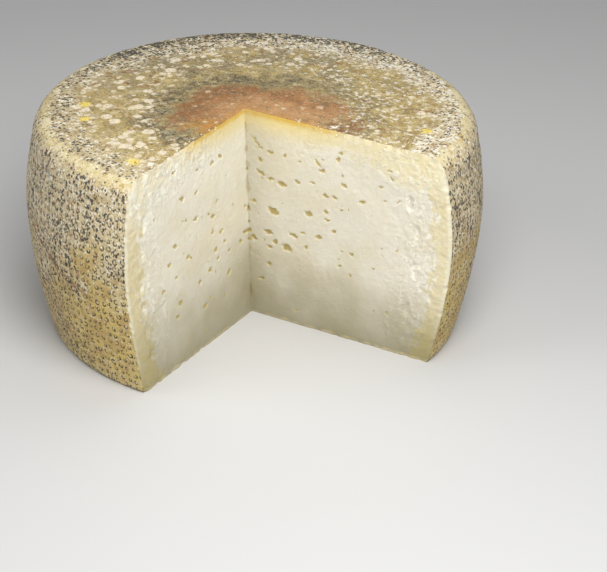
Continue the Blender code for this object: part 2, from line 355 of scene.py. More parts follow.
def shelled(outer, inner, z):  # a disc patch and its inner side, closed
    points, faces, borders = outer
    innerPoints, innerFaces, innerBorders = inner
    faces = turnedOut(points, faces, facing(points, z))
    innerFaces = turnedOut(innerPoints, innerFaces, facing(innerPoints, -z))
    seams = [(borders[side], innerBorders[side]) for side in ("x", "y", "rim")]
    return closedShell(points, faces, innerPoints, innerFaces, seams)


def makeTop():
    points, faces, borders = discPatch(rind["topRings"], flatRadius, True)
    innerRim = flatRadius - rind["innerRim"]
    inner = discPatch(rind["innerRings"], innerRim, True, rind["inset"], rind["thickness"])
    moved, distance = followEdges(points)
    whole, allFaces = shelled((moved, faces, borders), inner, 1.0)
    fields = rindFields(points, distance, facing(points, 1.0), np.zeros((len(points), 3)))
    return meshObject("rind_top", whole, allFaces, fields), points, moved, borders


def makeBase():
    rim = sideProfile()[-1, 0]
    points, faces, borders = discPatch(rind["baseRings"], rim, False)
    innerRim = rim - rind["thickness"]
    inner = discPatch(rind["innerRings"], innerRim, False, rind["inset"], rind["thickness"])
    moved, distance = followEdges(points)
    fromRim = rim - np.linalg.norm(points[:, :2], axis=1)
    calm = np.clip(np.minimum(distance, fromRim) / rind["calmAboveFloor"], 0, 1)
    moved[:, 2] += rind["baseHollow"] * calm
    whole, allFaces = shelled((moved, faces, borders), inner, -1.0)
    lattice = np.zeros((len(points), 3))
    fields = {"outward": facing(points, -1.0), "calm": 0.5 * calm, "lattice": lattice}
    return meshObject("rind_base", whole, allFaces, fields), points, moved, borders


def makeSides(shares):
    profile = resampled(sideProfile(), rind["rows"])
    run = lengthAlong(profile) / pitch
    innerProfile = resampled(sideProfile(rind["thickness"]), rind["innerRows"])
    ends = np.linspace(0, len(shares) - 1, rind["sidePieces"] + 1).astype(int)
    pieces, lines = [], {}
    for part, (first, last) in enumerate(zip(ends, ends[1:])):
        points, faces, numbers, turns = sweptPatch(profile, shares[first : last + 1])
        moved, distance = followEdges(points)
        outward = outwardOf(profile, turns)
        faces = turnedOut(points, faces, outward)
        gap = rind["innerGap"]
        low = shares[first] + gap * (part > 0)
        high = shares[last] - gap * (part < rind["sidePieces"] - 1)
        innerShares = np.linspace(low, high, rind["innerColumns"])
        inner, innerFaces, innerNumbers, innerTurns = sweptPatch(innerProfile, innerShares, rind["inset"])
        innerFaces = turnedOut(inner, innerFaces, -outwardOf(innerProfile, innerTurns))
        seams = [(numbers[0], innerNumbers[0]), (numbers[-1], innerNumbers[-1])]
        seams += [(numbers[:, 0], innerNumbers[:, 0]), (numbers[:, -1], innerNumbers[:, -1])]
        whole, allFaces = closedShell(moved, faces, inner, innerFaces, seams)
        column = turns * rind["pipsAround"] / tau
        row = np.broadcast_to(run[:, None], turns.shape)
        lattice = np.stack([column, row, np.zeros_like(turns)], -1).reshape(-1, 3)
        fields = rindFields(points, distance, outward, lattice)
        pieces.append(meshObject(f"rind_side_{part + 1}", whole, allFaces, fields))
        if part == 0:
            lines["x"] = points[numbers[:, 0]], moved[numbers[:, 0]]
        if part == rind["sidePieces"] - 1:
            lines["y"] = points[numbers[:, -1]], moved[numbers[:, -1]]
    return pieces, lines


rindTop, topPoints, topMoved, topBorders = makeTop()
rindSides, sideLines = makeSides(sharesAt(topPoints[topBorders["rim"]]))
rindBase, basePoints, baseMoved, baseBorders = makeBase()
print("rind meshes made")

# The cut paste. Eyes and flakes are (along, height, half length, half height, turn), in mm and degrees
paste = {
    "grid": 0.57 * mm,
    "width": 0.125,
    "tall": 0.127,
    "eyeDepth": 0.6,  # in its smaller half size
    "deepestEye": 0.85,  # mm
    "eyeSteepness": 0.4,
    "flakeSteepness": 0.7,
    "wave": 0.55 * mm,
    "waveSize": 24 * mm,
    "crumb": 0.12 * mm,
    "crumbSize": 5 * mm,
    "roughGain": 2.5,  # how much more crumbly it is where it is torn or flaky
    "flakyFrom": 0.086,
    "flakyOver": 0.020,
    "tornFrom": 0.100,  # height and distance along from which the -Y wall is torn under the rind
    "tornBeyond": 0.030,
    "flakeDepth": 1.1 * mm,
    "calmBesideEdge": 2.5 * mm,
    "sideFrom": 0.1,  # along a wall, where the edge is the side's and no longer the top's or base's
    "hullDepth": 9 * mm,
    "hullInset": 5 * mm,
    "hullRings": 8,
    "hullRows": 10,
    "pinholes": 34,
    "pinholeSize": (0.45, 0.75),  # mm: the smallest, and what the largest has more
    "pinholeArea": ((8, 98), (8, 118)),
    "ragged": 1.5 * mm,
    "raggedSize": 1.9 * mm,
    "seed": 7,
}
eyes = {
    "x": (
        (6.5, 110, 5.2, 0.75, -47), (9.5, 106.5, 1.4, 1.0, -40), (16, 105, 1.6, 1.2, 0),
        (25, 105, 1.5, 1.1, 20), (9, 99, 1.5, 1.2, 0), (9, 90.8, 3.3, 1.3, -20),
        (15.5, 88.5, 1.9, 1.3, 0), (22.5, 87, 3.2, 1.9, -5), (33, 91, 2.2, 1.1, -15),
        (43, 93, 1.6, 1.2, 30), (46.5, 106, 3.6, 0.7, -50), (49.5, 101.5, 2.0, 1.3, -25),
        (59, 111, 2.2, 1.2, 15), (63, 96, 2.6, 1.2, -20), (51, 87, 1.9, 1.4, 0), (57, 87, 1.6, 1.2, 0),
        (75, 89, 2.6, 1.3, 10), (86, 101, 1.7, 1.2, 0), (16.5, 69, 4.2, 2.3, -15), (3.5, 72, 1.9, 1.0, 0),
        (40, 73, 2.9, 1.8, -10), (51, 77, 1.9, 1.3, 0), (52, 72, 1.8, 1.4, 0), (12.5, 54.5, 3.3, 1.4, -5),
        (29.5, 57, 3.3, 1.7, -10), (46, 60, 2.2, 1.4, 0), (17, 49.5, 1.8, 1.6, 0),
        (25, 48, 3.6, 2.3, -10), (13.5, 45.5, 2.4, 1.0, -10), (3.2, 48.5, 2.8, 1.4, -20),
        (13, 34, 2.0, 1.4, 25), (7, 23.5, 1.8, 1.2, 0), (56, 66, 1.7, 1.2, 0), (66, 41, 1.8, 1.3, 0),
        (10, 88, 1.2, 0.9, 0), (61, 115, 1.5, 0.9, 20), (62, 102, 1.2, 0.9, 0), (92, 112, 1.5, 0.8, 0),
        (36, 60, 1.2, 0.9, 0),
    ),
    "y": (
        (27, 109, 2.2, 1.3, 30), (35, 108, 2.0, 1.2, -20), (66, 99, 2.6, 1.6, 10), (52, 97, 1.8, 1.3, 0),
        (54, 82, 2.1, 1.6, 0), (36, 76, 2.4, 1.7, 20), (37, 67, 2.0, 1.5, 0), (29, 64, 1.9, 1.4, 0),
        (75, 74, 2.6, 1.6, -15), (35, 55, 2.2, 1.5, 10), (9, 49, 2.0, 2.0, 0), (63, 62, 2.1, 1.4, 0),
        (81, 65, 1.9, 1.4, 0), (33, 49, 1.7, 1.3, 0), (41, 45, 2.3, 1.5, 20), (52, 42, 1.8, 1.4, 0),
        (48, 25, 2.5, 1.6, 0), (72, 38, 2.2, 1.6, 10), (75, 31, 1.7, 1.3, 0), (22, 35, 2.2, 1.5, -25),
        (88, 52, 1.9, 1.3, 0), (60, 61, 1.2, 0.9, 0), (4, 53, 2.5, 1.3, 0), (3, 69, 1.8, 1.3, 0),
    ),
    "corner": (
        (0, 91, 0.8, 1.4, 0), (0, 67, 1.0, 1.8, 0), (0, 58, 1.3, 1.0, 0), (0, 53, 1.7, 1.2, 0),
        (0, 47, 1.2, 0.9, 0), (0, 14, 1.2, 2.0, 0),
    ),
}
flakes = {
    "x": (
        (104, 96, 2.6, 5, 8), (108, 78, 2.2, 6, -6), (107, 55, 2.4, 5.5, 5), (102, 30, 2.2, 5, -8),
    ),
    "y": (
        (103, 99, 2.8, 5, 12), (106, 84, 2.4, 6, -6), (108, 66, 2.8, 6.5, 4), (107, 50, 2.4, 5, -8),
        (105, 36, 2.6, 6, 6), (102, 20, 2.2, 4.5, -5),
    ),
}


def hollowShape(along, height, hollow):  # 1 in a hollow's middle, 0 at its edge and beyond
    middle, level, halfLength, halfHeight, turn = hollow
    across, up = along / mm - middle, height / mm - level
    turned = radians(turn)
    ahead = (across * cos(turned) + up * sin(turned)) / halfLength
    aside = (up * cos(turned) - across * sin(turned)) / halfHeight
    return np.clip(1 - ahead**2 - aside**2, 0, 1)


def pinholes(draw):
    smallest, extra = paste["pinholeSize"]
    alongRange, heightRange = paste["pinholeArea"]
    found = []
    for _ in range(paste["pinholes"]):
        size = smallest + extra * draw.random() ** 2
        along, height = draw.uniform(*alongRange), draw.uniform(*heightRange)
        found.append((along, height, size * draw.uniform(1, 1.5), size, draw.uniform(-50, 50)))
    return tuple(found)


def raggedPlaces(along, height):  # pulled about a little, so that no hollow has a smooth outline
    scaled = list(zip(along / paste["raggedSize"], height / paste["raggedSize"]))
    pullAlong = np.array([noise.noise(Vector((a, h, 3.0))) for a, h in scaled])
    pullUp = np.array([noise.noise(Vector((a, h, 53.0))) for a, h in scaled])
    return along + paste["ragged"] * pullAlong, height + 0.7 * paste["ragged"] * pullUp


def wallRelief(wall, along, height, fromOutline):  # depth into the cheese, and how much is eye or flake
    draw = np.random.default_rng(paste["seed"] + (wall == "y"))
    depth, eye, flake = (np.zeros(len(along)) for _ in range(3))
    pulledAlong, pulledHeight = raggedPlaces(along, height)
    for hollow in eyes[wall] + eyes["corner"] + pinholes(draw):
        shape = hollowShape(pulledAlong, pulledHeight, hollow)
        deepest = min(paste["eyeDepth"] * min(hollow[2:4]), paste["deepestEye"]) * mm
        depth = np.maximum(depth, deepest * shape ** paste["eyeSteepness"])
        eye = np.maximum(eye, np.clip(1.6 * shape, 0, 1))
    for hollow in flakes[wall]:
        flake = np.maximum(flake, hollowShape(along, height, hollow) ** paste["flakeSteepness"])
    offset = Vector((0, 0, 10 if wall == "x" else 40))
    places = np.column_stack([along, height, np.zeros(len(along))])
    broad = [noise.noise(Vector(place) + offset) for place in places / paste["waveSize"]]
    small = [noise.fractal(Vector(place) + offset, 0.7, 2.0, 4) for place in places / paste["crumbSize"]]
    rough = np.clip((along - paste["flakyFrom"]) / paste["flakyOver"], 0, 1)
    if wall == "y":
        torn = np.clip((height - paste["tornFrom"]) / paste["flakyOver"], 0, 1)
        rough = np.maximum(rough, torn * np.clip((along - paste["tornBeyond"]) / paste["flakyOver"], 0, 1))
    fade = np.clip(fromOutline / paste["calmBesideEdge"], 0, 1)
    crumb = paste["crumb"] * np.array(small) * (1 + paste["roughGain"] * rough)
    waves = paste["wave"] * np.array(broad) + crumb
    return depth + fade * (waves + paste["flakeDepth"] * flake), eye, flake


def outlineOf(wall):  # the wall's border from the apex over the rim and down to the base, plain and chipped
    top, base = topBorders[wall], baseBorders[wall]
    plain = [topPoints[top], sideLines[wall][0][1:], basePoints[base][::-1][1:]]
    moved = [topMoved[top], sideLines[wall][1][1:], baseMoved[base][::-1][1:]]
    return np.concatenate(plain), np.concatenate(moved)


def flattened(wall, points):  # (along, height) on a wall
    corner = cornerAt(points[:, 2])
    along = points[:, 0] - corner[:, 0] if wall == "x" else corner[:, 1] - points[:, 1]
    return np.column_stack([along, points[:, 2]])


def raised(wall, flat, depth):  # back to a place on the wall, that deep in the cheese
    corner = cornerAt(flat[:, 1])
    if wall == "x":
        return np.column_stack([corner[:, 0] + flat[:, 0], corner[:, 1] + depth, flat[:, 1]])
    return np.column_stack([corner[:, 0] - depth, corner[:, 1] - flat[:, 0], flat[:, 1]])


def coonsGrid(left, right, bottom, top):
    u = np.linspace(0, 1, len(bottom))[None, :, None]
    v = np.linspace(0, 1, len(left))[:, None, None]
    ruled = (1 - v) * bottom[None] + v * top[None] + (1 - u) * left[:, None] + u * right[:, None]
    return ruled - (1 - v) * ((1 - u) * bottom[0] + u * bottom[-1]) - v * ((1 - u) * top[0] + u * top[-1])


def distanceTo(flat, line):
    dense = resampled(line, 900)
    nearest = np.full(len(flat), 1.0)
    for start in range(0, len(dense), 60):
        away = np.linalg.norm(flat[:, None] - dense[None, start : start + 60], axis=2)
        nearest = np.minimum(nearest, away.min(axis=1))
    return nearest


def borderCuts(wall):  # where a wall's outline turns from the top into the side, and into the base
    topCount, sideCount = len(topBorders[wall]), len(sideLines[wall][0])
    shoulderRows = int(sideCount * wheel["shoulderRound"] * pi / 4 / lengthAlong(sideLines[wall][0])[-1])
    return {
        "shoulderMiddle": topCount + shoulderRows,
        "footMiddle": topCount + sideCount - 5,
        "rim": topCount - 1,
        "foot": topCount + sideCount - 2,
    }


def wallGrid(wall):
    plain, moved = outlineOf(wall)
    flat, cuts = flattened(wall, plain), borderCuts(wall)
    across, up = int(paste["width"] / paste["grid"]), int(paste["tall"] / paste["grid"])
    bottom = resampled(flat[cuts["footMiddle"] :][::-1], across + 1)
    top = resampled(flat[: cuts["shoulderMiddle"] + 1], across + 1)
    right = resampled(flat[cuts["shoulderMiddle"] : cuts["footMiddle"] + 1][::-1], up + 1)
    left = resampled(np.array([flat[-1], flat[0]]), up + 1)
    grid = coonsGrid(left, right, bottom, top)[1:-1, :-1]
    inner = grid.reshape(-1, 2)
    gap = distanceTo(inner, flat)
    along, height = inner[:, 0], inner[:, 1]
    nearTop = np.clip((height - shoulderHeight) / wheel["shoulderRound"], 0, 1) ** 2
    inward = along < paste["sideFrom"]
    nearTop = np.where(inward, height > wheel["widest"], nearTop)
    nearBase = np.where(inward, 1 - nearTop, np.clip(1 - height / wheel["baseRound"], 0, 1))
    slope = np.clip(1 - gap / edges["reach"], 0, 1) ** 2
    depth, eye, flake = wallRelief(wall, along, height, gap)
    depth = depth + slope * edgeShift(wall, along, height, nearTop, nearBase)
    fields = wallFields(wall, inner, flat, cuts, eye, flake)
    return inner, depth, fields, grid.shape[:2], flat, moved, cuts


def wallFields(wall, places, flat, cuts, eye, flake):
    number = np.full(len(places), 0.0 if wall == "x" else 1.0)
    topGap = distanceTo(places, flat[: cuts["rim"] + 1])
    sideGap = distanceTo(places, flat[cuts["rim"] : cuts["foot"] + 1])
    return np.column_stack([places / mm, number, eye, flake, topGap / mm, sideGap / mm])


def makePaste():
    inner, depth, fields, shape, flat, moved, cuts = wallGrid("x")
    gridX = raised("x", inner, depth)
    numbersX = np.arange(len(gridX)).reshape(shape)
    borderX = len(gridX) + np.arange(len(moved))
    borderFieldsX = wallFields("x", flat, flat, cuts, *np.zeros((2, len(flat))))
    innerY, depthY, fieldsY, shapeY, flatY, movedY, cutsY = wallGrid("y")
    gridX[numbersX[:, 0], 0] -= depthY.reshape(shapeY)[:, 0]  # the inner corner takes both walls' depth
    kept = np.ones(shapeY, bool)
    kept[:, 0] = False
    gridY = raised("y", innerY, depthY)[kept.ravel()]
    offset = len(gridX) + len(moved)
    numbersY = np.empty(shapeY, int)
    numbersY[:, 0] = numbersX[:, 0]
    numbersY[:, 1:] = offset + np.arange(len(gridY)).reshape(shapeY[0], shapeY[1] - 1)
    ownY = offset + len(gridY) + np.arange(len(movedY) - 2)
    borderY = np.concatenate([[borderX[0]], ownY, [borderX[-1]]])
    borderFieldsY = wallFields("y", flatY, flatY, cutsY, *np.zeros((2, len(flatY))))
    points = np.concatenate([gridX, moved, gridY, movedY[1:-1]])
    allFields = np.concatenate([fields, borderFieldsX, fieldsY[kept.ravel()], borderFieldsY[1:-1]])

    faces = []
    walls = ((numbersX, borderX, cuts, False), (numbersY, borderY, cutsY, True))
    for numbers, border, marks, flip in walls:
        quads = gridFaces(numbers.T)
        quads = quads[:, ::-1] if flip else quads
        faces.append(quads)
        high, low = marks["shoulderMiddle"], marks["footMiddle"]
        faces.append(joinedTo(numbers[-1], border[: high + 1], quads, points))
        faces.append(joinedTo(numbers[:, -1], border[high : low + 1][::-1], quads, points))
        faces.append(joinedTo(numbers[0], border[low:][::-1], quads, points))
    sheet = np.concatenate(faces)

    hull, hullFaces, hullLines = pasteHull()
    seams = []
    for wall, border, marks in (("x", borderX, cuts), ("y", borderY, cutsY)):
        seams.append((border[: marks["rim"] + 1], hullLines[wall, "top"]))
        seams.append((border[marks["rim"] : marks["foot"] + 1], hullLines[wall, "side"]))
        seams.append((border[marks["foot"] :], hullLines[wall, "base"]))
    whole, allFaces = closedShell(points, sheet, hull, hullFaces, seams)
    kinds = {"cut": allFields[:, :3]}
    for column, name in enumerate(("eye", "flaky", "topGap", "sideGap"), 3):
        kinds[name] = allFields[:, column]
    made = meshObject("paste", whole, allFaces, kinds)
    ends = np.empty(2 * len(made.data.edges), int)
    made.data.edges.foreach_get("vertices", ends)
    corner = np.append(numbersX[:, 0], (borderX[0], borderX[-1]))
    inCorner = np.isin(ends.reshape(-1, 2), corner).all(axis=1)  # so that the two walls meet crisply
    made.data.attributes.new("sharp_edge", "BOOLEAN", "EDGE").data.foreach_set("value", inCorner)
    return made


def pasteHull():  # the unseen rest of the paste, well under the rind
    deep, inset, rings = paste["hullDepth"], paste["hullInset"], paste["hullRings"]
    profile = resampled(sideProfile(deep), paste["hullRows"])
    topDepth = wheel["height"] - profile[0, 1]
    topDisc, topFaces, topLines = discPatch(rings, profile[0, 0], True, inset, topDepth)
    shares = sharesAt(topDisc[topLines["rim"]])
    side, sideFaces, sideNumbers, turns = sweptPatch(profile, shares, inset)
    baseDisc, baseFaces, baseLines = discPatch(rings, profile[-1, 0], False, inset, profile[-1, 1])
    topFaces = turnedOut(topDisc, topFaces, facing(topDisc, 1.0))
    sideFaces = turnedOut(side, sideFaces, outwardOf(profile, turns))
    baseFaces = turnedOut(baseDisc, baseFaces, facing(baseDisc, -1.0))
    first, second = len(topDisc), len(topDisc) + len(side)
    swap = np.arange(second + len(baseDisc))
    swap[first + sideNumbers[0]] = topLines["rim"]  # the rims are shared
    swap[second + baseLines["rim"]] = first + sideNumbers[-1]
    faces = swap[np.concatenate([topFaces, sideFaces + first, baseFaces + second])]
    lines = {}
    for wall, column in (("x", 0), ("y", -1)):
        lines[wall, "top"] = swap[topLines[wall]]
        lines[wall, "side"] = swap[first + sideNumbers[:, column]]
        lines[wall, "base"] = swap[second + baseLines[wall]][::-1]
    points = np.concatenate([topDisc, side, baseDisc])
    used = np.unique(faces)
    renumbered = np.full(len(points), -1)
    renumbered[used] = np.arange(len(used))
    return points[used], renumbered[faces], {key: renumbered[row] for key, row in lines.items()}


pasteBody = makePaste()
print("paste mesh made")


# Node helpers: the same pattern can be built in a material and in Geometry Nodes
class NodeSheet:
    def __init__(self, tree):
        self.tree = tree

    def node(self, kind, feeds=None, output=0, **settings):
        made = self.tree.nodes.new(kind)
        for name, value in settings.items():
            setattr(made, name, value)
        for key, value in (feeds or {}).items():
            self.feed(made.inputs[key], value)
        return made.outputs[output]

    def feed(self, socket, value):
        if isinstance(value, bpy.types.NodeSocket):
            self.tree.links.new(value, socket)
        else:
            socket.default_value = value

    def math(self, operation, first, second=0.0, third=0.0, clamp=False):
        feeds = {0: first, 1: second, 2: third}
        return self.node("ShaderNodeMath", feeds, operation=operation, use_clamp=clamp)

    def add(self, *terms):
        total = terms[0]
        for term in terms[1:]:
            total = self.math("ADD", total, term)
        return total

    def times(self, *factors):
        product = factors[0]
        for factor in factors[1:]:
            product = self.math("MULTIPLY", product, factor)
        return product

    def less(self, first, second):
        return self.math("SUBTRACT", first, second)

    def inverse(self, value):
        return self.math("SUBTRACT", 1.0, value, clamp=True)

    def linear(self, value, slope, start):
        return self.math("MULTIPLY_ADD", value, slope, start)

    def centred(self, value, amount):  # a 0 to 1 value turned into -amount to amount
        return self.linear(value, 2.0 * amount, -amount)

    def stirred(self, value, *noises):  # each is a noise and how much of it goes in
        return self.add(value, *(self.centred(made, amount) for made, amount in noises))

    def vector(self, operation, first, second=(0.0, 0.0, 0.0)):
        output = 1 if operation in ("LENGTH", "DOT_PRODUCT") else 0
        return self.node("ShaderNodeVectorMath", {0: first, 1: second}, output, operation=operation)

    def scaled(self, vector, factor):
        return self.node("ShaderNodeVectorMath", {0: vector, "Scale": factor}, operation="SCALE")

    def inMm(self, vector):
        return self.vector("MULTIPLY", vector, (1 / mm,) * 3)

    def split(self, vector):
        made = self.tree.nodes.new("ShaderNodeSeparateXYZ")
        self.feed(made.inputs[0], vector)
        return made.outputs

    def joined(self, x, y, z=0.0):
        return self.node("ShaderNodeCombineXYZ", {0: x, 1: y, 2: z})

    def noise(self, vector, size, detail=2.0, roughness=0.5):
        feeds = {"Vector": vector, "Scale": 1 / size, "Detail": detail, "Roughness": roughness}
        return self.node("ShaderNodeTexNoise", feeds)

    def cloud(self, place, kind):
        shift, *rest = clouds[kind]
        return self.noise(self.vector("ADD", place, shift), *rest)

    def pulled(self, vector, place, size, detail, amounts):  # moved about by noise of that size
        made = self.node("ShaderNodeTexNoise", {"Vector": place, "Scale": 1 / size, "Detail": detail}, 1)
        away = self.vector("SUBTRACT", made, (0.5, 0.5, 0.5))
        return self.vector("ADD", vector, self.vector("MULTIPLY", away, amounts))

    def between(self, value, low, high, start=0.0, end=1.0):
        feeds = {0: value, 1: low, 2: high, 3: start, 4: end}
        return self.node("ShaderNodeMapRange", feeds, interpolation_type="SMOOTHSTEP")

    def falling(self, value, low, high):
        return self.between(value, low, high, 1.0, 0.0)

    def band(self, value, low, high, soft):
        rise = self.between(value, low - soft, low + soft)
        return self.times(rise, self.falling(value, high - soft, high + soft))

    def blend(self, share, first, second, mode="MIX"):
        made = self.tree.nodes.new("ShaderNodeMix")
        made.data_type, made.blend_type = "RGBA", mode
        for index, value in ((0, share), (6, first), (7, second)):
            self.feed(made.inputs[index], (*value, 1.0) if isinstance(value, tuple) else value)
        return made.outputs[2]


class Coat:  # colours laid over each other, each as strong as its strength times its shares
    def __init__(self, sheet, colours, first):
        self.sheet = sheet
        self.colours = colours
        self.top = colours[first]

    def lay(self, colour, strength, *shares):
        tint = self.colours[colour] if isinstance(colour, str) else colour
        self.top = self.sheet.blend(self.sheet.times(*shares, strength), self.top, tint)


# The basket's marks: a ring with a gap round each hole, on whole numbers of the lattice
pips = {
    "smallestRing": 0.8,  # mm, as the next three are
    "ringSpread": 0.5,
    "ringFade": (0.1, 0.73),
    "domeFade": (-0.9, 0.0),
    "gapFade": (0.2, 0.9),  # cosines
    "turnSpread": 3.0,  # radians
    "jitter": 0.22,
    "warp": 0.35,
    "warpSize": 13,
    "rows": (3.6, 5.2),  # the marks start below the shoulder
    "faintAbove": (45, 95),
    "patches": (0.3, 0.5),
}


def pipPattern(sheet, lattice, position):
    pull = 2 * pips["warp"]
    lattice = sheet.pulled(lattice, position, pips["warpSize"], 1.0, (pull, pull, 0.0))
    cell = sheet.vector("FLOOR", lattice)
    chance = sheet.node("ShaderNodeTexWhiteNoise", {"Vector": cell}, 1, noise_dimensions="2D")
    jitter = sheet.vector("MULTIPLY", chance, (pips["jitter"], pips["jitter"], 0.0))
    centre = sheet.vector("ADD", jitter, ((1 - pips["jitter"]) / 2,) * 2 + (0.0,))
    away = sheet.vector("SUBTRACT", sheet.vector("FRACTION", lattice), centre)
    away = sheet.vector("MULTIPLY", away, (pitch / mm, pitch / mm, 0.0))
    x, y, _ = sheet.split(away)
    red, green, blue = sheet.split(chance)
    radius = sheet.linear(blue, pips["ringSpread"], pips["smallestRing"])
    past = sheet.less(sheet.vector("LENGTH", away), radius)
    ring = sheet.falling(sheet.math("ABSOLUTE", past), *pips["ringFade"])
    angle = sheet.add(sheet.math("ARCTAN2", y, x), sheet.times(red, pips["turnSpread"]))
    gap = sheet.between(sheet.math("COSINE", angle), *pips["gapFade"], 1.0, 0.1)
    return sheet.times(ring, gap), sheet.falling(past, *pips["domeFade"]), green


def markStrength(sheet, position, lattice):  # where the basket's marks show, from 0 to 1
    onSide = sheet.between(sheet.split(lattice)[1], *pips["rows"])
    height = sheet.stirred(sheet.split(position)[2], (sheet.noise(position, 30, 1), 40))
    clear = sheet.between(height, *pips["faintAbove"], 1.0, 0.8)
    patchy = sheet.between(sheet.noise(position, 12, 1), *pips["patches"], 0.75, 1.0)
    return sheet.times(onSide, clear, patchy)


# Relief of the rind, by Geometry Nodes
relief = {
    "Lump depth": 0.5 * mm,
    "Wrinkle depth": 0.32 * mm,
    "Grain depth": 0.22 * mm,
    "Mark depth": 0.30 * mm,
}
reliefNoise = {  # size in mm, detail, roughness
    "Lump depth": (26, 2, 0.5),
    "Wrinkle depth": (5.5, 3, 0.6),
    "Grain depth": (1.7, 2, 0.6),
}


def newTree(name, inputs):
    tree = bpy.data.node_groups.new(name, "GeometryNodeTree")
    tree.interface.new_socket("Geometry", in_out="INPUT", socket_type="NodeSocketGeometry")
    tree.interface.new_socket("Geometry", in_out="OUTPUT", socket_type="NodeSocketGeometry")
    for label, value in inputs.items():
        socket = tree.interface.new_socket(label, in_out="INPUT", socket_type="NodeSocketFloat")
        socket.default_value = value
    start = tree.nodes.new("NodeGroupInput")
    return tree, NodeSheet(tree), {socket.name: socket for socket in start.outputs if socket.name}


def endTree(sheet, geometry, offset, material):  # moves the points, then ends the tree
    moved = sheet.node("GeometryNodeSetPosition", {"Geometry": geometry, "Offset": offset})
    realized = sheet.node("GeometryNodeRealizeInstances", {0: moved})
    painted = sheet.node("GeometryNodeSetMaterial", {"Geometry": realized, "Material": material})
    finish = sheet.tree.nodes.new("NodeGroupOutput")
    sheet.tree.links.new(painted, finish.inputs[0])


def named(sheet, name, kind="FLOAT_VECTOR"):
    return sheet.node("GeometryNodeInputNamedAttribute", {"Name": name}, data_type=kind)


def reliefTree(material):
    tree, sheet, given = newTree("rindRelief", relief)
    position = sheet.inMm(sheet.node("GeometryNodeInputPosition"))
    lattice = named(sheet, "lattice")
    bumps = []
    for label, kind in reliefNoise.items():
        bumps.append(sheet.times(sheet.centred(sheet.noise(position, *kind), 1.0), given[label]))
    ring, dome, _ = pipPattern(sheet, lattice, position)
    pricked = sheet.times(sheet.less(dome, ring), markStrength(sheet, position, lattice))
    depth = sheet.add(*bumps, sheet.times(pricked, given["Mark depth"]))
    offset = sheet.scaled(named(sheet, "outward"), sheet.times(depth, named(sheet, "calm", "FLOAT")))
    endTree(sheet, given["Geometry"], offset, material)
    return tree


def baked(piece, tree):  # the modifier's result as a plain mesh
    modifier = piece.modifiers.new(tree.name, "NODES")
    modifier.node_group = tree
    for socket in tree.interface.items_tree:
        if socket.in_out == "INPUT" and socket.socket_type == "NodeSocketFloat":
            modifier[socket.identifier] = socket.default_value
    graph = bpy.context.evaluated_depsgraph_get()
    mesh = bpy.data.meshes.new_from_object(piece.evaluated_get(graph), depsgraph=graph)
    piece.modifiers.remove(modifier)
    old = piece.data
    piece.data = mesh
    bpy.data.meshes.remove(old)
    mesh.name = piece.name
    return piece


# Finishes
def newMaterial(name, roughness=0.5):
    material = bpy.data.materials.new(name)
    material.use_nodes = True
    shader = material.node_tree.nodes["Principled BSDF"]
    shader.inputs["Roughness"].default_value = roughness
    return material, NodeSheet(material.node_tree), shader


def objectPlace(sheet):  # in mm
    return sheet.inMm(sheet.node("ShaderNodeTexCoord", output=3))


def field(sheet, name, output=1):  # output 1 is a vector, 2 a number
    return sheet.node("ShaderNodeAttribute", output=output, attribute_name=name)


def finished(sheet, shader, colour, height, distance, strength):
    feeds = {"Strength": strength, "Distance": distance, "Height": height}
    sheet.feed(shader.inputs["Base Color"], colour)
    sheet.feed(shader.inputs["Normal"], sheet.node("ShaderNodeBump", feeds))


clouds = {  # shift of the pattern, size in mm, detail, roughness
    "soft": ((3.0, 44.0, 0.0), 6.5, 4, 0.65),
    "mottle": ((13.0, 4.0, 0.0), 4.5, 4, 0.7),
    "crazed": ((41.0, 17.0, 5.0), 6.0, 4, 0.7),
    "broad": ((22.0, 31.0, 0.0), 13, 3, 0.6),
    "sideMould": ((60.0, 2.0, 9.0), 14),
    "mould": ((60.0, 2.0, 9.0), 12),
    "pale": ((5.0, 5.0, 5.0), 5.0, 3, 0.6),
    "stain": ((50.0, 5.0, 1.0), 8.0, 3, 0.6),
    "redFleck": ((3.0, 90.0, 9.0), 3.0),
    "grime": ((15.0, 25.0, 35.0), 5.0, 4, 0.7),
    "greyed": ((17.0, 71.0, 0.0), 15, 3, 0.6),
    "crusty": ((9.0, 9.0, 9.0), 3.6, 4, 0.7),
    "brown": ((80.0, 1.0, 3.0), 6.0, 3),
    "burnt": ((7.0, 0.0, 70.0), 4.0, 3, 0.6),
}
patchLimits = {  # the values of a cloud between which its patch fades in
    "pale": (0.52, 0.66),
    "stain": (0.58, 0.68),
    "redFleck": (0.63, 0.69),
    "grime": (0.54, 0.64),
    "greyed": (0.38, 0.6),
    "crusty": (0.54, 0.6),
    "brown": (0.6, 0.68),
    "burnt": (0.54, 0.64),
}
noShift, saltShift = (0.0, 0.0, 0.0), (31.0, 7.0, 11.0)
speckKinds = {  # shift of the pattern, size in mm, spread of the sizes, raggedness
    "sideSalt": (saltShift, 1.7, 0.35, 0.6),
    "sidePepper": (noShift, 1.55, 0.3, 0.9),
    "shoulderSalt": (saltShift, 2.1, 0.3, 0.7),
    "shoulderPepper": (noShift, 1.7, 0.3, 0.9),
    "topSalt": (saltShift, 2.4, 0.3, 0.7),
    "topPepper": (noShift, 1.8, 0.3, 0.9),
    "flecks": (noShift, 5.4, 0.28, 1.0),
    "largeSpots": (noShift, 7.6, 0.23, 0.3),
    "smallSpots": ((70.0, 20.0, 0.0), 4.4, 0.23, 0.3),
    "pasteDots": ((5.0, 2.0, 8.0), 2.4, 0.25, 0.8),
}
speckSoftness = 0.06


def patches(sheet, place, kind):
    return sheet.between(sheet.cloud(place, kind), *patchLimits[kind])


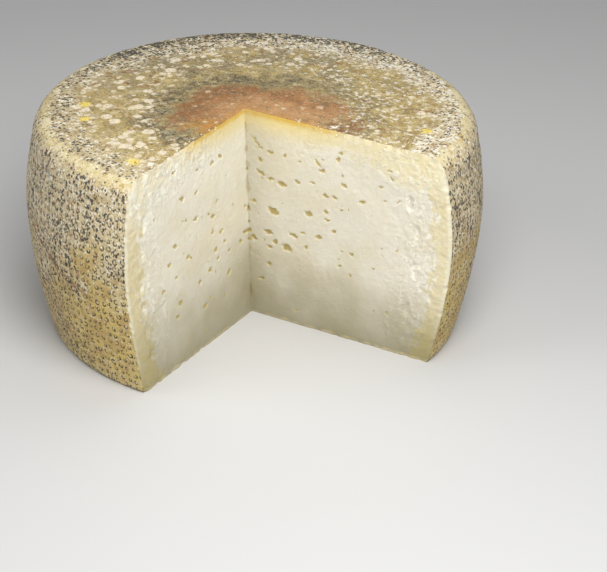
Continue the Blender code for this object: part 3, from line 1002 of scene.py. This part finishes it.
def specks(sheet, place, kind, share):  # uneven patches that cover about that share
    shift, size, spread, ragged = speckKinds[kind]
    place = sheet.vector("ADD", place, shift)
    made = sheet.tree.nodes.new("ShaderNodeTexVoronoi")
    sheet.feed(made.inputs["Vector"], sheet.pulled(place, place, size / 2, 2.0, (ragged * size,) * 3))
    sheet.feed(made.inputs["Scale"], 1 / size)
    chance = sheet.split(made.outputs["Color"])[0]
    reach = sheet.stirred(sheet.times(share, 0.85), (chance, spread))
    return sheet.falling(sheet.less(made.outputs["Distance"], reach), -speckSoftness, speckSoftness)


rindColours = {
    "ochre": (0.71, 0.54, 0.18),
    "deepOchre": (0.56, 0.375, 0.12),
    "tan": (0.53, 0.415, 0.235),
    "upperTan": (0.68, 0.57, 0.37),
    "mark": (0.045, 0.035, 0.02),
    "charcoal": (0.045, 0.042, 0.035),
    "grey": (0.30, 0.26, 0.19),
    "chalk": (0.90, 0.84, 0.70),
    "shoulder": (0.68, 0.54, 0.25),
    "paleShoulder": (0.78, 0.68, 0.42),
    "burntShoulder": (0.50, 0.32, 0.11),
    "olive": (0.42, 0.295, 0.095),
    "paleOlive": (0.54, 0.41, 0.155),
    "cream": (0.85, 0.72, 0.50),
    "crust": (0.64, 0.54, 0.30),
    "greyOlive": (0.24, 0.20, 0.115),
    "darkOlive": (0.19, 0.145, 0.07),
    "blackOlive": (0.085, 0.07, 0.042),
    "salmon": (0.43, 0.18, 0.06),
    "rust": (0.27, 0.115, 0.04),
    "peach": (0.61, 0.35, 0.16),
    "amber": (0.54, 0.255, 0.045),
    "sulphur": (0.88, 0.68, 0.14),
    "redFleck": (0.38, 0.12, 0.07),
}
marks = {  # mm; a spot is x, y and radius
    "crease": ((110.1, 13.3), (119.9, 16.4)),  # its two ends on the lattice
    "acrossWay": (0.854, 0.521, 0.0),  # the top's two directions that the zones are measured in
    "backWay": (-0.521, 0.854, 0.0),
    "blobAcross": 1.0,  # middle of the salmon patch
    "blobBack": -10.0,
    "blobFlatness": 1.28,
    "amberSpot": (-8, -42, 14),
    "burntSpot": (58, 0, 13),
    "sulphurSpots": ((-16, -98, 4.5), (-82, -49, 4.0), (-70, -66, 3.0), (98, 20, 3.5)),
    "whiteSpots": ((-6, -96, 2.6), (52, -3, 2.0)),
}
sideZones = {  # where each fades, in mm of height, or for the first two in shares of the way to the back
    "nearCut": (-0.66, -0.1),
    "messy": (-0.62, -0.40),
    "high": (46, 86),
    "foot": (4, 12),
    "creaseWidth": (0.07, 0.42),  # in rows of marks
    "shoulderStart": (3.0, 5.4),  # mm round the profile from the top's rim
    "shoulderEnd": (8.8, 12.8),
}
topZones = {  # mm; a third number is how softly both borders fade
    "right": (-5, 40),
    "farSide": (20, 110),
    "greyBack": (0, 50),
    "rim": (93, 107),
    "rimEdge": (98, 112),
    "darkRing": (50, 70, 9),
    "veins": (84, 104),
    "salmon": (41, 53),
    "rustyRim": (28, 48),
    "rustyLeft": (16, 40),
    "grime": (16, 36),
    "paleBesideCut": (2, 30),
    "amberBesideCut": (0, 8),
    "spots": (58, 106, 7),
    "crusts": (50, 102, 8),
    "brown": (40, 60),
}


def sideColour(sheet, place, lattice, coarse, middle, fine):
    x, y, height = sheet.split(place)
    column, row, _ = sheet.split(lattice)
    direction = sheet.vector("NORMALIZE", sheet.joined(x, y))
    behind = sheet.vector("DOT_PRODUCT", direction, (-0.707, 0.707, 0.0))
    nearCut = sheet.falling(sheet.stirred(behind, (coarse, 0.25)), *sideZones["nearCut"])
    messy = sheet.between(sheet.stirred(behind, (coarse, 0.3), (middle, 0.15)), *sideZones["messy"])
    high = sheet.between(sheet.stirred(height, (coarse, 60), (middle, 34)), *sideZones["high"])
    coat = Coat(sheet, rindColours, "deepOchre")
    coat.lay("ochre", 1.0, sheet.between(middle, 0.35, 0.62))
    coat.lay("tan", 0.7, sheet.inverse(nearCut))
    coat.lay("upperTan", 0.8, high)
    coat.lay("shoulder", 0.8, sheet.falling(sheet.stirred(height, (fine, 6)), *sideZones["foot"]))
    coat.lay("paleShoulder", 0.4, patches(sheet, place, "pale"))
    coat.lay("burntShoulder", 0.7, patches(sheet, place, "stain"))

    (columnA, rowA), (columnB, rowB) = marks["crease"]
    slope = (rowB - rowA) / (columnB - columnA)
    line = sheet.stirred(sheet.linear(column, slope, rowA - slope * columnA), (middle, 0.5), (fine, 0.35))
    crease = sheet.falling(sheet.math("ABSOLUTE", sheet.less(row, line)), *sideZones["creaseWidth"])
    along = sheet.band(sheet.stirred(column, (middle, 3)), columnA - 6, columnB - 1, 3.5)
    coat.lay("rust", 0.9, crease, along)

    # white flecks, then the basket's marks, then mould, thicker on the upper half
    coat.lay("chalk", 0.85, specks(sheet, place, "sideSalt", sheet.linear(high, 0.34, -0.02)))
    ring, dome, chance = pipPattern(sheet, lattice, place)
    strength = markStrength(sheet, place, lattice)
    # the basket's marks: a paler dome, partly painted light on the raised pip, and a dark ring, partly dirt
    # in the groove and partly painted shade, mostly on the pip's lower side
    coat.lay("paleShoulder", 0.25, dome, strength)
    coat.lay("mark", 1.0, ring, strength, sheet.between(chance, 0.0, 0.4, 0.75, 1.0))
    coat.lay("redFleck", 1.0, patches(sheet, place, "redFleck"), sheet.linear(messy, 0.4, 0.3))
    coat.lay("darkOlive", 0.5, patches(sheet, place, "grime"), messy)
    streak = sheet.noise(sheet.vector("MULTIPLY", place, (1.0, 1.0, 0.14)), 5.0)
    pepper = sheet.add(
        sheet.times(high, 0.27),
        sheet.times(sheet.between(streak, 0.5, 0.64), sheet.linear(high, 0.24, 0.06)),
        sheet.centred(sheet.cloud(place, "sideMould"), 0.16),
        sheet.times(messy, sheet.inverse(high), 0.31),
        sheet.times(ring, high, 0.10),
        -0.015,
    )
    stretched = sheet.vector("MULTIPLY", place, (1.0, 1.0, 0.78))
    coat.lay("charcoal", 0.92, specks(sheet, stretched, "sidePepper", pepper))
    return coat.top


def spotAt(sheet, flat, x, y, radius, wobble):
    away = sheet.vector("LENGTH", sheet.vector("SUBTRACT", flat, (x, y, 0.0)))
    return sheet.falling(sheet.stirred(away, (wobble, 5)), radius * 0.6, radius * 1.1)


def topColour(sheet, place, coarse, middle, fine):
    zones = topZones
    x, y, _ = sheet.split(place)
    flat = sheet.joined(x, y)
    radius = sheet.vector("LENGTH", flat)
    across = sheet.vector("DOT_PRODUCT", flat, marks["acrossWay"])
    back = sheet.vector("DOT_PRODUCT", flat, marks["backWay"])
    acrossBlob = sheet.less(across, marks["blobAcross"])
    backBlob = sheet.times(sheet.less(back, marks["blobBack"]), marks["blobFlatness"])
    fromBlob = sheet.vector("LENGTH", sheet.joined(acrossBlob, backBlob))
    ragged = sheet.stirred(fromBlob, (coarse, 18), (middle, 16), (fine, 8))
    rightness = sheet.between(sheet.stirred(across, (coarse, 30)), *zones["right"])
    leftness = sheet.inverse(rightness)
    cornerX, cornerY = (value / mm for value in wheel["cornerAtTop"])
    pastX = sheet.math("MAXIMUM", sheet.less(cornerX, x), 0.0)
    pastY = sheet.math("MAXIMUM", sheet.less(y, cornerY), 0.0)
    fromCut = sheet.vector("LENGTH", sheet.joined(pastX, pastY))
    farSide = sheet.between(back, *zones["farSide"])
    rimPlace = sheet.add(sheet.stirred(radius, (coarse, 10), (middle, 12)), sheet.times(farSide, 16))
    rim = sheet.between(rimPlace, *zones["rim"])

    # olive ground with soft clouds
    soft = sheet.cloud(place, "soft")
    coat = Coat(sheet, rindColours, "olive")
    coat.lay("paleOlive", 1.0, sheet.between(middle, 0.35, 0.65))
    coat.lay("darkOlive", 0.4, sheet.between(soft, 0.5, 0.64))
    coat.lay("cream", 0.5, sheet.between(soft, 0.46, 0.34))
    coat.lay("greyOlive", 0.75, patches(sheet, place, "greyed"), sheet.between(back, *zones["greyBack"]))
    coat.lay("upperTan", 0.6, rim)

    # dark ring round the salmon patch
    dark = sheet.times(sheet.band(ragged, *zones["darkRing"]), sheet.linear(leftness, 0.55, 0.5))
    mottle = sheet.cloud(place, "mottle")
    coat.lay("darkOlive", 0.6, dark)
    coat.lay("blackOlive", 0.85, dark, sheet.between(mottle, 0.47, 0.55))
    coat.lay("crust", 0.7, dark, sheet.falling(mottle, 0.38, 0.44))

    # crazed crust: thin dark lines with paler sides
    crazed = sheet.cloud(place, "crazed")
    offVein = sheet.math("ABSOLUTE", sheet.less(crazed, 0.5))
    veinZone = sheet.between(sheet.less(radius, sheet.centred(coarse, 20)), *zones["veins"], 1.0, 0.2)
    coat.lay("darkOlive", 0.75, sheet.falling(offVein, 0.0, 0.026), veinZone)
    coat.lay("crust", 0.5, sheet.band(offVein, 0.035, 0.06, 0.012), veinZone)

    # salmon patch, more amber beside the cut
    red = sheet.falling(ragged, *zones["salmon"])
    broad = sheet.cloud(place, "broad")
    patch = Coat(sheet, rindColours, "salmon")
    patch.lay("rust", 1.0, sheet.between(mottle, 0.43, 0.59))
    patch.lay("peach", 0.55, sheet.between(broad, 0.48, 0.62))
    patch.lay("rust", 0.6, sheet.between(ragged, *zones["rustyRim"]))
    besideCut = sheet.stirred(fromCut, (coarse, 14), (middle, 8))
    paler = sheet.between(besideCut, *zones["paleBesideCut"], 0.6, 0.0)
    patch.lay("peach", 1.0, sheet.add(paler, sheet.times(rightness, 0.22)))
    patch.lay("amber", 0.5, sheet.falling(sheet.stirred(fromCut, (middle, 8)), *zones["amberBesideCut"]))
    patch.lay("rust", 0.45, leftness, sheet.between(ragged, *zones["rustyLeft"]))
    patch.lay("amber", 0.7, spotAt(sheet, flat, *marks["amberSpot"], fine))
    patch.lay("cream", 0.35, sheet.between(fine, 0.45, 0.3))
    coat.lay(patch.top, 0.93, red)
    burnt = spotAt(sheet, flat, *marks["burntSpot"], middle)
    coat.lay("rust", 0.85, burnt, sheet.between(crazed, 0.44, 0.56, 0.35, 1.0))
    fleckShare = sheet.add(sheet.centred(broad, -0.3), 0.08)
    coat.lay("cream", 0.6, red, specks(sheet, flat, "flecks", fleckShare))
    grime = sheet.between(ragged, *zones["grime"])
    coat.lay("darkOlive", 0.75, red, sheet.between(crazed, 0.52, 0.61), grime)

    # rounded cream spots on the left, pale crumbly streaks on the right
    outer = sheet.band(sheet.stirred(radius, (coarse, 12)), *zones["spots"])
    spotShare = sheet.times(outer, sheet.linear(leftness, 0.19, 0.11))
    tint = sheet.blend(sheet.between(fine, 0.45, 0.7), rindColours["cream"], rindColours["chalk"])
    coat.lay(tint, 0.9, specks(sheet, flat, "largeSpots", spotShare), outer)
    coat.lay(tint, 0.75, specks(sheet, flat, "smallSpots", spotShare), outer)
    crusts = sheet.times(patches(sheet, place, "crusty"), sheet.band(radius, *zones["crusts"]))
    coat.lay("chalk", 1.0, crusts, sheet.linear(rightness, 0.45, 0.25))
    coat.lay("rust", 0.6, patches(sheet, place, "brown"), sheet.between(radius, *zones["brown"]))
    for spot in marks["sulphurSpots"]:
        coat.lay("sulphur", 0.9, spotAt(sheet, flat, *spot, fine))

    # salt and pepper towards the rim
    uneven = sheet.cloud(place, "mould")
    edge = sheet.between(sheet.stirred(radius, (middle, 12)), *zones["rimEdge"])
    salt = sheet.stirred(sheet.times(rim, sheet.linear(rightness, 0.18, 0.37)), (uneven, -0.12))
    coat.lay("chalk", 1.0, specks(sheet, place, "topSalt", salt), sheet.linear(rim, 0.75, 0.1))
    pepper = sheet.add(
        sheet.times(rim, sheet.linear(rightness, -0.08, 0.33)),
        sheet.times(dark, 0.14),
        sheet.times(edge, sheet.linear(farSide, 0.32, 0.08)),
        sheet.times(rim, farSide, 0.13),
        sheet.centred(uneven, 0.16),
        -0.03,
    )
    coat.lay("charcoal", 0.9, specks(sheet, place, "topPepper", pepper))
    for spot in marks["whiteSpots"]:
        coat.lay("chalk", 1.0, spotAt(sheet, flat, *spot, fine))
    return coat.top


def shoulderColour(sheet, place, middle):
    coat = Coat(sheet, rindColours, "shoulder")
    coat.lay("paleShoulder", 1.0, sheet.between(middle, 0.36, 0.6))
    coat.lay("burntShoulder", 0.65, patches(sheet, place, "burnt"))
    coat.lay("chalk", 0.6, specks(sheet, place, "shoulderSalt", 0.12))
    farSide = sheet.between(sheet.vector("DOT_PRODUCT", place, marks["backWay"]), *topZones["farSide"])
    uneven = sheet.centred(sheet.cloud(place, "mould"), 0.2)
    pepper = sheet.add(uneven, sheet.times(farSide, 0.25), 0.18)
    coat.lay("charcoal", 0.85, specks(sheet, place, "shoulderPepper", pepper))
    return coat.top


def makeRindMaterial():
    material, sheet, shader = newMaterial("mouldyRind")
    place, lattice = objectPlace(sheet), field(sheet, "lattice")
    coarse, middle = sheet.noise(place, 34), sheet.noise(place, 9, 3)
    fine, grit = sheet.noise(place, 2.4, 3, 0.6), sheet.noise(place, 1.1, 2, 0.6)
    side = sideColour(sheet, place, lattice, coarse, middle, fine)
    top = topColour(sheet, place, coarse, middle, fine)
    shoulder = shoulderColour(sheet, place, middle)
    run = sheet.times(sheet.split(lattice)[1], pitch / mm)
    ragged = sheet.stirred(run, (middle, 6), (fine, 5))
    colour = sheet.blend(sheet.between(ragged, *sideZones["shoulderStart"]), top, shoulder)
    colour = sheet.blend(sheet.between(ragged, *sideZones["shoulderEnd"]), colour, side)
    # painted shade in the grain's pits and painted light on its raised tops, from the same grit noise as
    # the bump
    shade = sheet.between(grit, 0.3, 0.7, 0.86, 1.1)
    colour = sheet.blend(1.0, colour, sheet.joined(shade, shade, shade), "MULTIPLY")
    sheet.feed(shader.inputs["Roughness"], sheet.between(middle, 0.3, 0.7, 0.5, 0.72))
    finished(sheet, shader, colour, sheet.add(sheet.times(fine, 1.2), grit), 0.6 * mm, 0.9)
    return material


def makeUnderMaterial():
    material, sheet, shader = newMaterial("paleUnderside", 0.65)
    place = objectPlace(sheet)
    middle, fine = sheet.noise(place, 12, 3), sheet.noise(place, 2.4, 3, 0.6)
    grit = sheet.noise(place, 0.95, 2, 0.6)
    x, y, _ = sheet.split(place)
    threads = (sheet.math("SINE", sheet.times(value, 2.2)) for value in (x, y))
    weave = sheet.math("MAXIMUM", *threads)
    coat = Coat(sheet, rindColours, "ochre")
    coat.lay("tan", 1.0, sheet.between(middle, 0.35, 0.65))
    coat.lay("mark", 0.35, sheet.falling(weave, -0.4, 0.4))
    coat.lay("grey", 0.6, sheet.between(fine, 0.55, 0.62))
    coat.lay("chalk", 0.7, sheet.between(grit, 0.6, 0.66))
    finished(sheet, shader, coat.top, sheet.add(weave, sheet.times(grit, 1.5)), 0.3 * mm, 0.6)
    return material


pasteColours = {
    "ivory": (0.79, 0.745, 0.62),
    "warmIvory": (0.76, 0.70, 0.545),
    "straw": (0.68, 0.575, 0.315),
    "paleStraw": (0.83, 0.74, 0.48),
    "chalk": (0.94, 0.90, 0.77),
    "edge": (0.84, 0.77, 0.57),
    "orange": (0.76, 0.47, 0.06),
    "yellow": (0.84, 0.67, 0.25),
    "khaki": (0.53, 0.42, 0.145),
    # painted shade: the deepest eyes and the line in the inner corner
    "khakiShade": (0.36, 0.275, 0.08),
    # painted shade: the next two colours darken the walls towards the base and in the inner corner
    "low": (0.34, 0.30, 0.18),
    "shadedLowStraw": (0.36, 0.30, 0.12),
}
pasteZones = {  # mm; a third number is how softly both borders fade
    "strawBand": (4.0, 10.5),  # what the -Y wall's has more, and its width on the other wall
    "flakes": (-2, 20, 4),  # from the straw band inwards
    "fluff": (-9, 22, 6),  # below the top
    "fluffAlong": (18, 40),
    "yellowing": (3, 16),
    "yellowAlong": (30, 60),
    # painted light: the upper part of the wall along -Y is made paler
    "paintedLightUp": (84, 112),
    "edgeLine": (1.6, 3.0),
    "yellowLine": (0, 17),
    "orangeLine": (0.4, 4.4),
    "lineAlong": (32, 72),
    # painted shade: how high the darkening towards the base reaches on each wall
    "shadeReach": (14, 54),
    "baseLine": (0.4, 2.2),
    "shadedCorner": (0, 26),
    "cornerShadeLine": (-0.6, 1.0),
}
pasteGlow = {"Weight": 0.12, "Radius": (1.0, 0.7, 0.35), "Scale": 2.0 * mm}


def makePasteMaterial():
    zones = pasteZones
    material, sheet, shader = newMaterial("ivoryPaste", 0.42)
    place = objectPlace(sheet)
    along, height, wall = sheet.split(field(sheet, "cut"))
    eye, flaky, topGap, sideGap = (field(sheet, name, 2) for name in ("eye", "flaky", "topGap", "sideGap"))
    coarse, middle = sheet.noise(place, 26), sheet.noise(place, 7, 3)
    fine, grit = sheet.noise(place, 2.2, 3, 0.6), sheet.noise(place, 0.8)
    coat = Coat(sheet, pasteColours, "warmIvory")
    coat.lay("ivory", 1.0, sheet.between(sheet.stirred(coarse, (middle, 0.1)), 0.36, 0.64))
    coat.lay("chalk", 0.25, sheet.between(fine, 0.55, 0.68))

    # straw band inside the rind, wider on the wall along -Y, with a ragged, chalky inner border
    crumbly = sheet.noise(sheet.vector("MULTIPLY", place, (1.0, 1.0, 0.85)), 3.6, 4, 0.65)
    bandWidth = sheet.linear(wall, *zones["strawBand"])
    nearRind = sheet.less(sheet.stirred(sideGap, (middle, 6), (crumbly, 15)), bandWidth)
    band = sheet.falling(nearRind, -1.5, 1.5)
    straw = sheet.blend(sheet.linear(wall, 0.55, 0.45), pasteColours["paleStraw"], pasteColours["straw"])
    coat.lay(straw, 1.0, band, sheet.between(crumbly, 0.34, 0.66, 1.0, 0.55))
    pastBand = sheet.less(sheet.stirred(sideGap, (coarse, 14)), bandWidth)
    flakeZone = sheet.band(pastBand, *zones["flakes"])
    broken = sheet.between(sheet.add(crumbly, sheet.times(flaky, 0.06)), 0.52, 0.6)
    coat.lay("chalk", 0.9, broken, flakeZone, sheet.between(height, 60, 120, 1.0, 0.75))
    farAlong = sheet.times(sheet.between(along, 60, 110), sheet.less(1.3, wall), -8.0)
    fromTop = sheet.add(sheet.stirred(topGap, (crumbly, 12)), farAlong)
    yellowing = sheet.falling(fromTop, *zones["yellowing"])
    coat.lay("paleStraw", 0.85, yellowing, sheet.between(along, *zones["yellowAlong"]))
    fluff = sheet.band(sheet.stirred(topGap, (coarse, 20)), *zones["fluff"])
    fluff = sheet.times(fluff, sheet.between(along, *zones["fluffAlong"]))
    fluffShare = sheet.times(sheet.between(crumbly, 0.47, 0.54), fluff, sheet.linear(wall, 0.65, 0.3))
    coat.lay("chalk", 1.0, fluffShare)
    # painted light: paler high on the wall along -Y, offsetting the shade there
    coat.lay("chalk", 0.4, wall, sheet.between(height, *zones["paintedLightUp"]))
    coat.lay("chalk", 0.55, specks(sheet, place, "pasteDots", -0.02))
    coat.lay("edge", 0.85, sheet.falling(sheet.stirred(sideGap, (fine, 2.0)), *zones["edgeLine"]))

    # amber line under the top rind, strongest by the inner corner
    underTop = sheet.stirred(topGap, (middle, 1.6), (fine, 0.8))
    nearApex = sheet.between(sheet.stirred(along, (coarse, 24)), *zones["lineAlong"], 1.0, 0.12)
    coat.lay("yellow", 0.9, sheet.falling(underTop, *zones["yellowLine"]), nearApex)
    coat.lay("orange", 0.92, sheet.falling(underTop, *zones["orangeLine"]), nearApex)

    # painted shade: darker towards the base and in the inner corner, where less light reaches; then the
    # eyes
    low = sheet.falling(sheet.stirred(height, (coarse, 16)), -4, sheet.linear(wall, *zones["shadeReach"]))
    coat.lay(sheet.blend(band, pasteColours["low"], pasteColours["shadedLowStraw"]), 0.95, low)
    coat.lay("straw", 0.6, sheet.falling(sheet.stirred(height, (middle, 3)), *zones["baseLine"]))
    # painted shade in the inner corner, on the wall along +X
    inCorner = sheet.falling(sheet.stirred(along, (coarse, 8)), *zones["shadedCorner"])
    coat.lay("low", 0.34, inCorner, sheet.inverse(wall))
    # painted shade: a thin dark line down the inner corner where the two walls meet
    coat.lay("khakiShade", 0.45, sheet.falling(sheet.stirred(along, (middle, 5)), *zones["cornerShadeLine"]))
    # the eyes: khaki, partly their own tint and partly painted shade, with more painted shade where they
    # are deepest
    coat.lay("khaki", 0.88, sheet.between(eye, 0.1, 0.7))
    coat.lay("khakiShade", 0.4, sheet.between(eye, 0.8, 1.0))
    for name, value in pasteGlow.items():
        shader.inputs[f"Subsurface {name}"].default_value = value
    raisedFlakes = sheet.add(sheet.times(broken, flakeZone, 0.8), sheet.times(fluffShare, 1.2))
    bumps = sheet.add(fine, sheet.times(grit, 0.5), crumbly, raisedFlakes)
    finished(sheet, shader, coat.top, bumps, 0.4 * mm, 0.6)
    return material


# Crumbs along the cut's top edges, scattered by Geometry Nodes
crumbs = {
    "Smallest": 0.25 * mm,
    "Largest": 0.7 * mm,
    "Roughness": 0.35,
}
crumbPlaces = {
    "count": 70,
    "spread": 1.6 * mm,
    "from": 30 * mm,
    "to": 112 * mm,
    "lowest": 4 * mm,  # below the top
    "inward": 0.4 * mm,
    "seed": 5,
}
crumbColours = {"pale": (0.86, 0.80, 0.62), "straw": (0.74, 0.62, 0.38)}


def crumbCarrier():
    draw = np.random.default_rng(crumbPlaces["seed"])
    cornerX, cornerY = cornerAt(wheel["height"])
    places = []
    for _ in range(crumbPlaces["count"]):
        wall = "xy"[draw.integers(2)]
        along = draw.uniform(crumbPlaces["from"], crumbPlaces["to"])
        side = draw.normal(0, crumbPlaces["spread"])
        x, y = (along, side) if wall == "x" else (-side, -along)
        fall = 0 if side > 0 else min(-side * 1.5, crumbPlaces["lowest"])
        height = topHeight(np.hypot(x + cornerX, y + cornerY)) - fall
        inward = max(side, 0.0) + crumbPlaces["inward"]
        x, y = (along, inward) if wall == "x" else (-inward, -along)
        places.append((x + cornerX, y + cornerY, height))
    mesh = bpy.data.meshes.new("crumbs")
    mesh.from_pydata(places, [], [])
    return placed("crumbs", mesh)


def crumbTree(material):
    tree, sheet, given = newTree("crumbScatter", crumbs)
    points = sheet.node("GeometryNodeMeshToPoints", {"Mesh": given["Geometry"]})
    ball = sheet.node("GeometryNodeMeshIcoSphere", {"Radius": 1.0, "Subdivisions": 2})
    limits = {"Min": given["Smallest"], "Max": given["Largest"], "Seed": 3}
    size = sheet.node("FunctionNodeRandomValue", limits, 1, data_type="FLOAT")
    squashes = {0: (0.7, 0.7, 0.5), 1: (1.4, 1.2, 1.0), "Seed": 4}
    turns = {0: (0.0, 0.0, 0.0), 1: (tau, tau, tau), "Seed": 5}
    squash = sheet.node("FunctionNodeRandomValue", squashes, data_type="FLOAT_VECTOR")
    turn = sheet.node("FunctionNodeRandomValue", turns, data_type="FLOAT_VECTOR")
    feeds = {"Points": points, "Instance": ball, "Scale": sheet.scaled(squash, size), "Rotation": turn}
    onPoints = sheet.node("GeometryNodeInstanceOnPoints", feeds)
    scattered = sheet.node("GeometryNodeRealizeInstances", {0: onPoints})
    position = sheet.inMm(sheet.node("GeometryNodeInputPosition"))
    lumpy = sheet.centred(sheet.noise(position, 0.7, 1), 0.45 * mm)
    outwards = sheet.scaled(sheet.node("GeometryNodeInputNormal"), sheet.times(lumpy, given["Roughness"]))
    endTree(sheet, scattered, outwards, material)
    return tree


def makeCrumbMaterial():
    material, sheet, shader = newMaterial("chalkyCrumbs", 0.6)
    place = objectPlace(sheet)
    coat = Coat(sheet, crumbColours, "pale")
    coat.lay("straw", 1.0, sheet.between(sheet.noise(place, 3.5, 1), 0.35, 0.65))
    finished(sheet, shader, coat.top, sheet.noise(place, 0.4), 0.15 * mm, 0.6)
    return material


rindRelief, baseRelief = reliefTree(makeRindMaterial()), reliefTree(makeUnderMaterial())
for piece in (rindTop, *rindSides):
    baked(piece, rindRelief)
baked(rindBase, baseRelief)
crumbBits = baked(crumbCarrier(), crumbTree(makeCrumbMaterial()))
pasteBody.data.materials.append(makePasteMaterial())
print("relief and finishes made")

# Every piece hangs from the root body, and the CAD part is hidden
slots = {"rind": (rindTop, *rindSides, rindBase), "paste": (pasteBody, crumbBits)}
for slotName, pieces in slots.items():
    for piece in pieces:
        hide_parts("cheese_wheel")
        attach(piece, "root")


# Floor, light and camera
room = {
    "floor": 6.0,
    "floorColour": (0.66, 0.655, 0.645, 1.0),
    "world": (0.80, 0.82, 0.85, 1.0),
    "worldStrength": 0.22,
    "lights": (  # name, azimuth, elevation, distance, size, watts
        ("key", 45, 50, 0.80, 0.55, 6.2),
        ("fill", -40, 35, 1.2, 0.8, 3.2),
        ("above", 170, 70, 1.1, 0.8, 1.8),
    ),
}
wheelMiddle = Vector((0, 0, wheel["height"] / 2))


def wayTo(azimuth, elevation):
    a, e = radians(azimuth), radians(elevation)
    return Vector((sin(a) * cos(e), -cos(a) * cos(e), sin(e)))


def makeFloor():
    half = room["floor"] / 2
    mesh = bpy.data.meshes.new("floor")
    corners = [(-half, -half, 0), (half, -half, 0), (half, half, 0), (-half, half, 0)]
    mesh.from_pydata(corners, [], [(0, 1, 2, 3)])
    material, _, shader = newMaterial("paleFloor", 0.55)
    shader.inputs["Base Color"].default_value = room["floorColour"]
    mesh.materials.append(material)
    floor = placed("floor", mesh)


def makeLights():
    for name, azimuth, elevation, distance, size, watts in room["lights"]:
        light = bpy.data.lights.new(name, "AREA")
        light.shape, light.size, light.energy = "DISK", size, watts
        lamp = placed(name, light)
        lamp.location = wheelMiddle + wayTo(azimuth, elevation) * distance
        lamp.rotation_euler = wayTo(azimuth, elevation).to_track_quat("Z", "Y").to_euler()
    world = bpy.data.worlds.new("softDaylight")
    world.use_nodes = True
    background = world.node_tree.nodes["Background"]
    background.inputs["Color"].default_value = room["world"]
    background.inputs["Strength"].default_value = room["worldStrength"]
    bpy.context.scene.world = world


# The view was worked out from the wheel's outline and the cut's edges
view = {
    "azimuth": 31.4,
    "elevation": 25.89,
    "distance": 1201.06 * mm,
    "turnRight": 1.33,
    "turnDown": 2.13,
    "roll": 0.27,
    "focalPixels": 2086.07,
    "imageWidth": 607,
    "sensor": 36.0,
}


def turnedBy(first, second, degrees):
    a = radians(degrees)
    return first * cos(a) + second * sin(a), second * cos(a) - first * sin(a)


def makeCamera():
    way = wayTo(view["azimuth"], view["elevation"])
    forward = -way
    across = Vector((cos(radians(view["azimuth"])), sin(radians(view["azimuth"])), 0))
    up = across.cross(forward)
    forward, across = turnedBy(forward, across, view["turnRight"])
    forward, up = turnedBy(forward, up, -view["turnDown"])
    across, up = turnedBy(across, up, view["roll"])
    data = bpy.data.cameras.new("photoView")
    data.sensor_fit, data.sensor_width = "HORIZONTAL", view["sensor"]
    data.lens = view["focalPixels"] * view["sensor"] / view["imageWidth"]
    camera = placed("photoView", data)
    turned = Matrix((across, up, -forward)).transposed().to_4x4()
    camera.matrix_world = Matrix.Translation(way * view["distance"] + wheelMiddle) @ turned
    bpy.context.scene.camera = camera


makeFloor()
makeLights()
makeCamera()
bpy.context.scene.view_settings.view_transform = "Standard"
print("floor, lights and camera made")
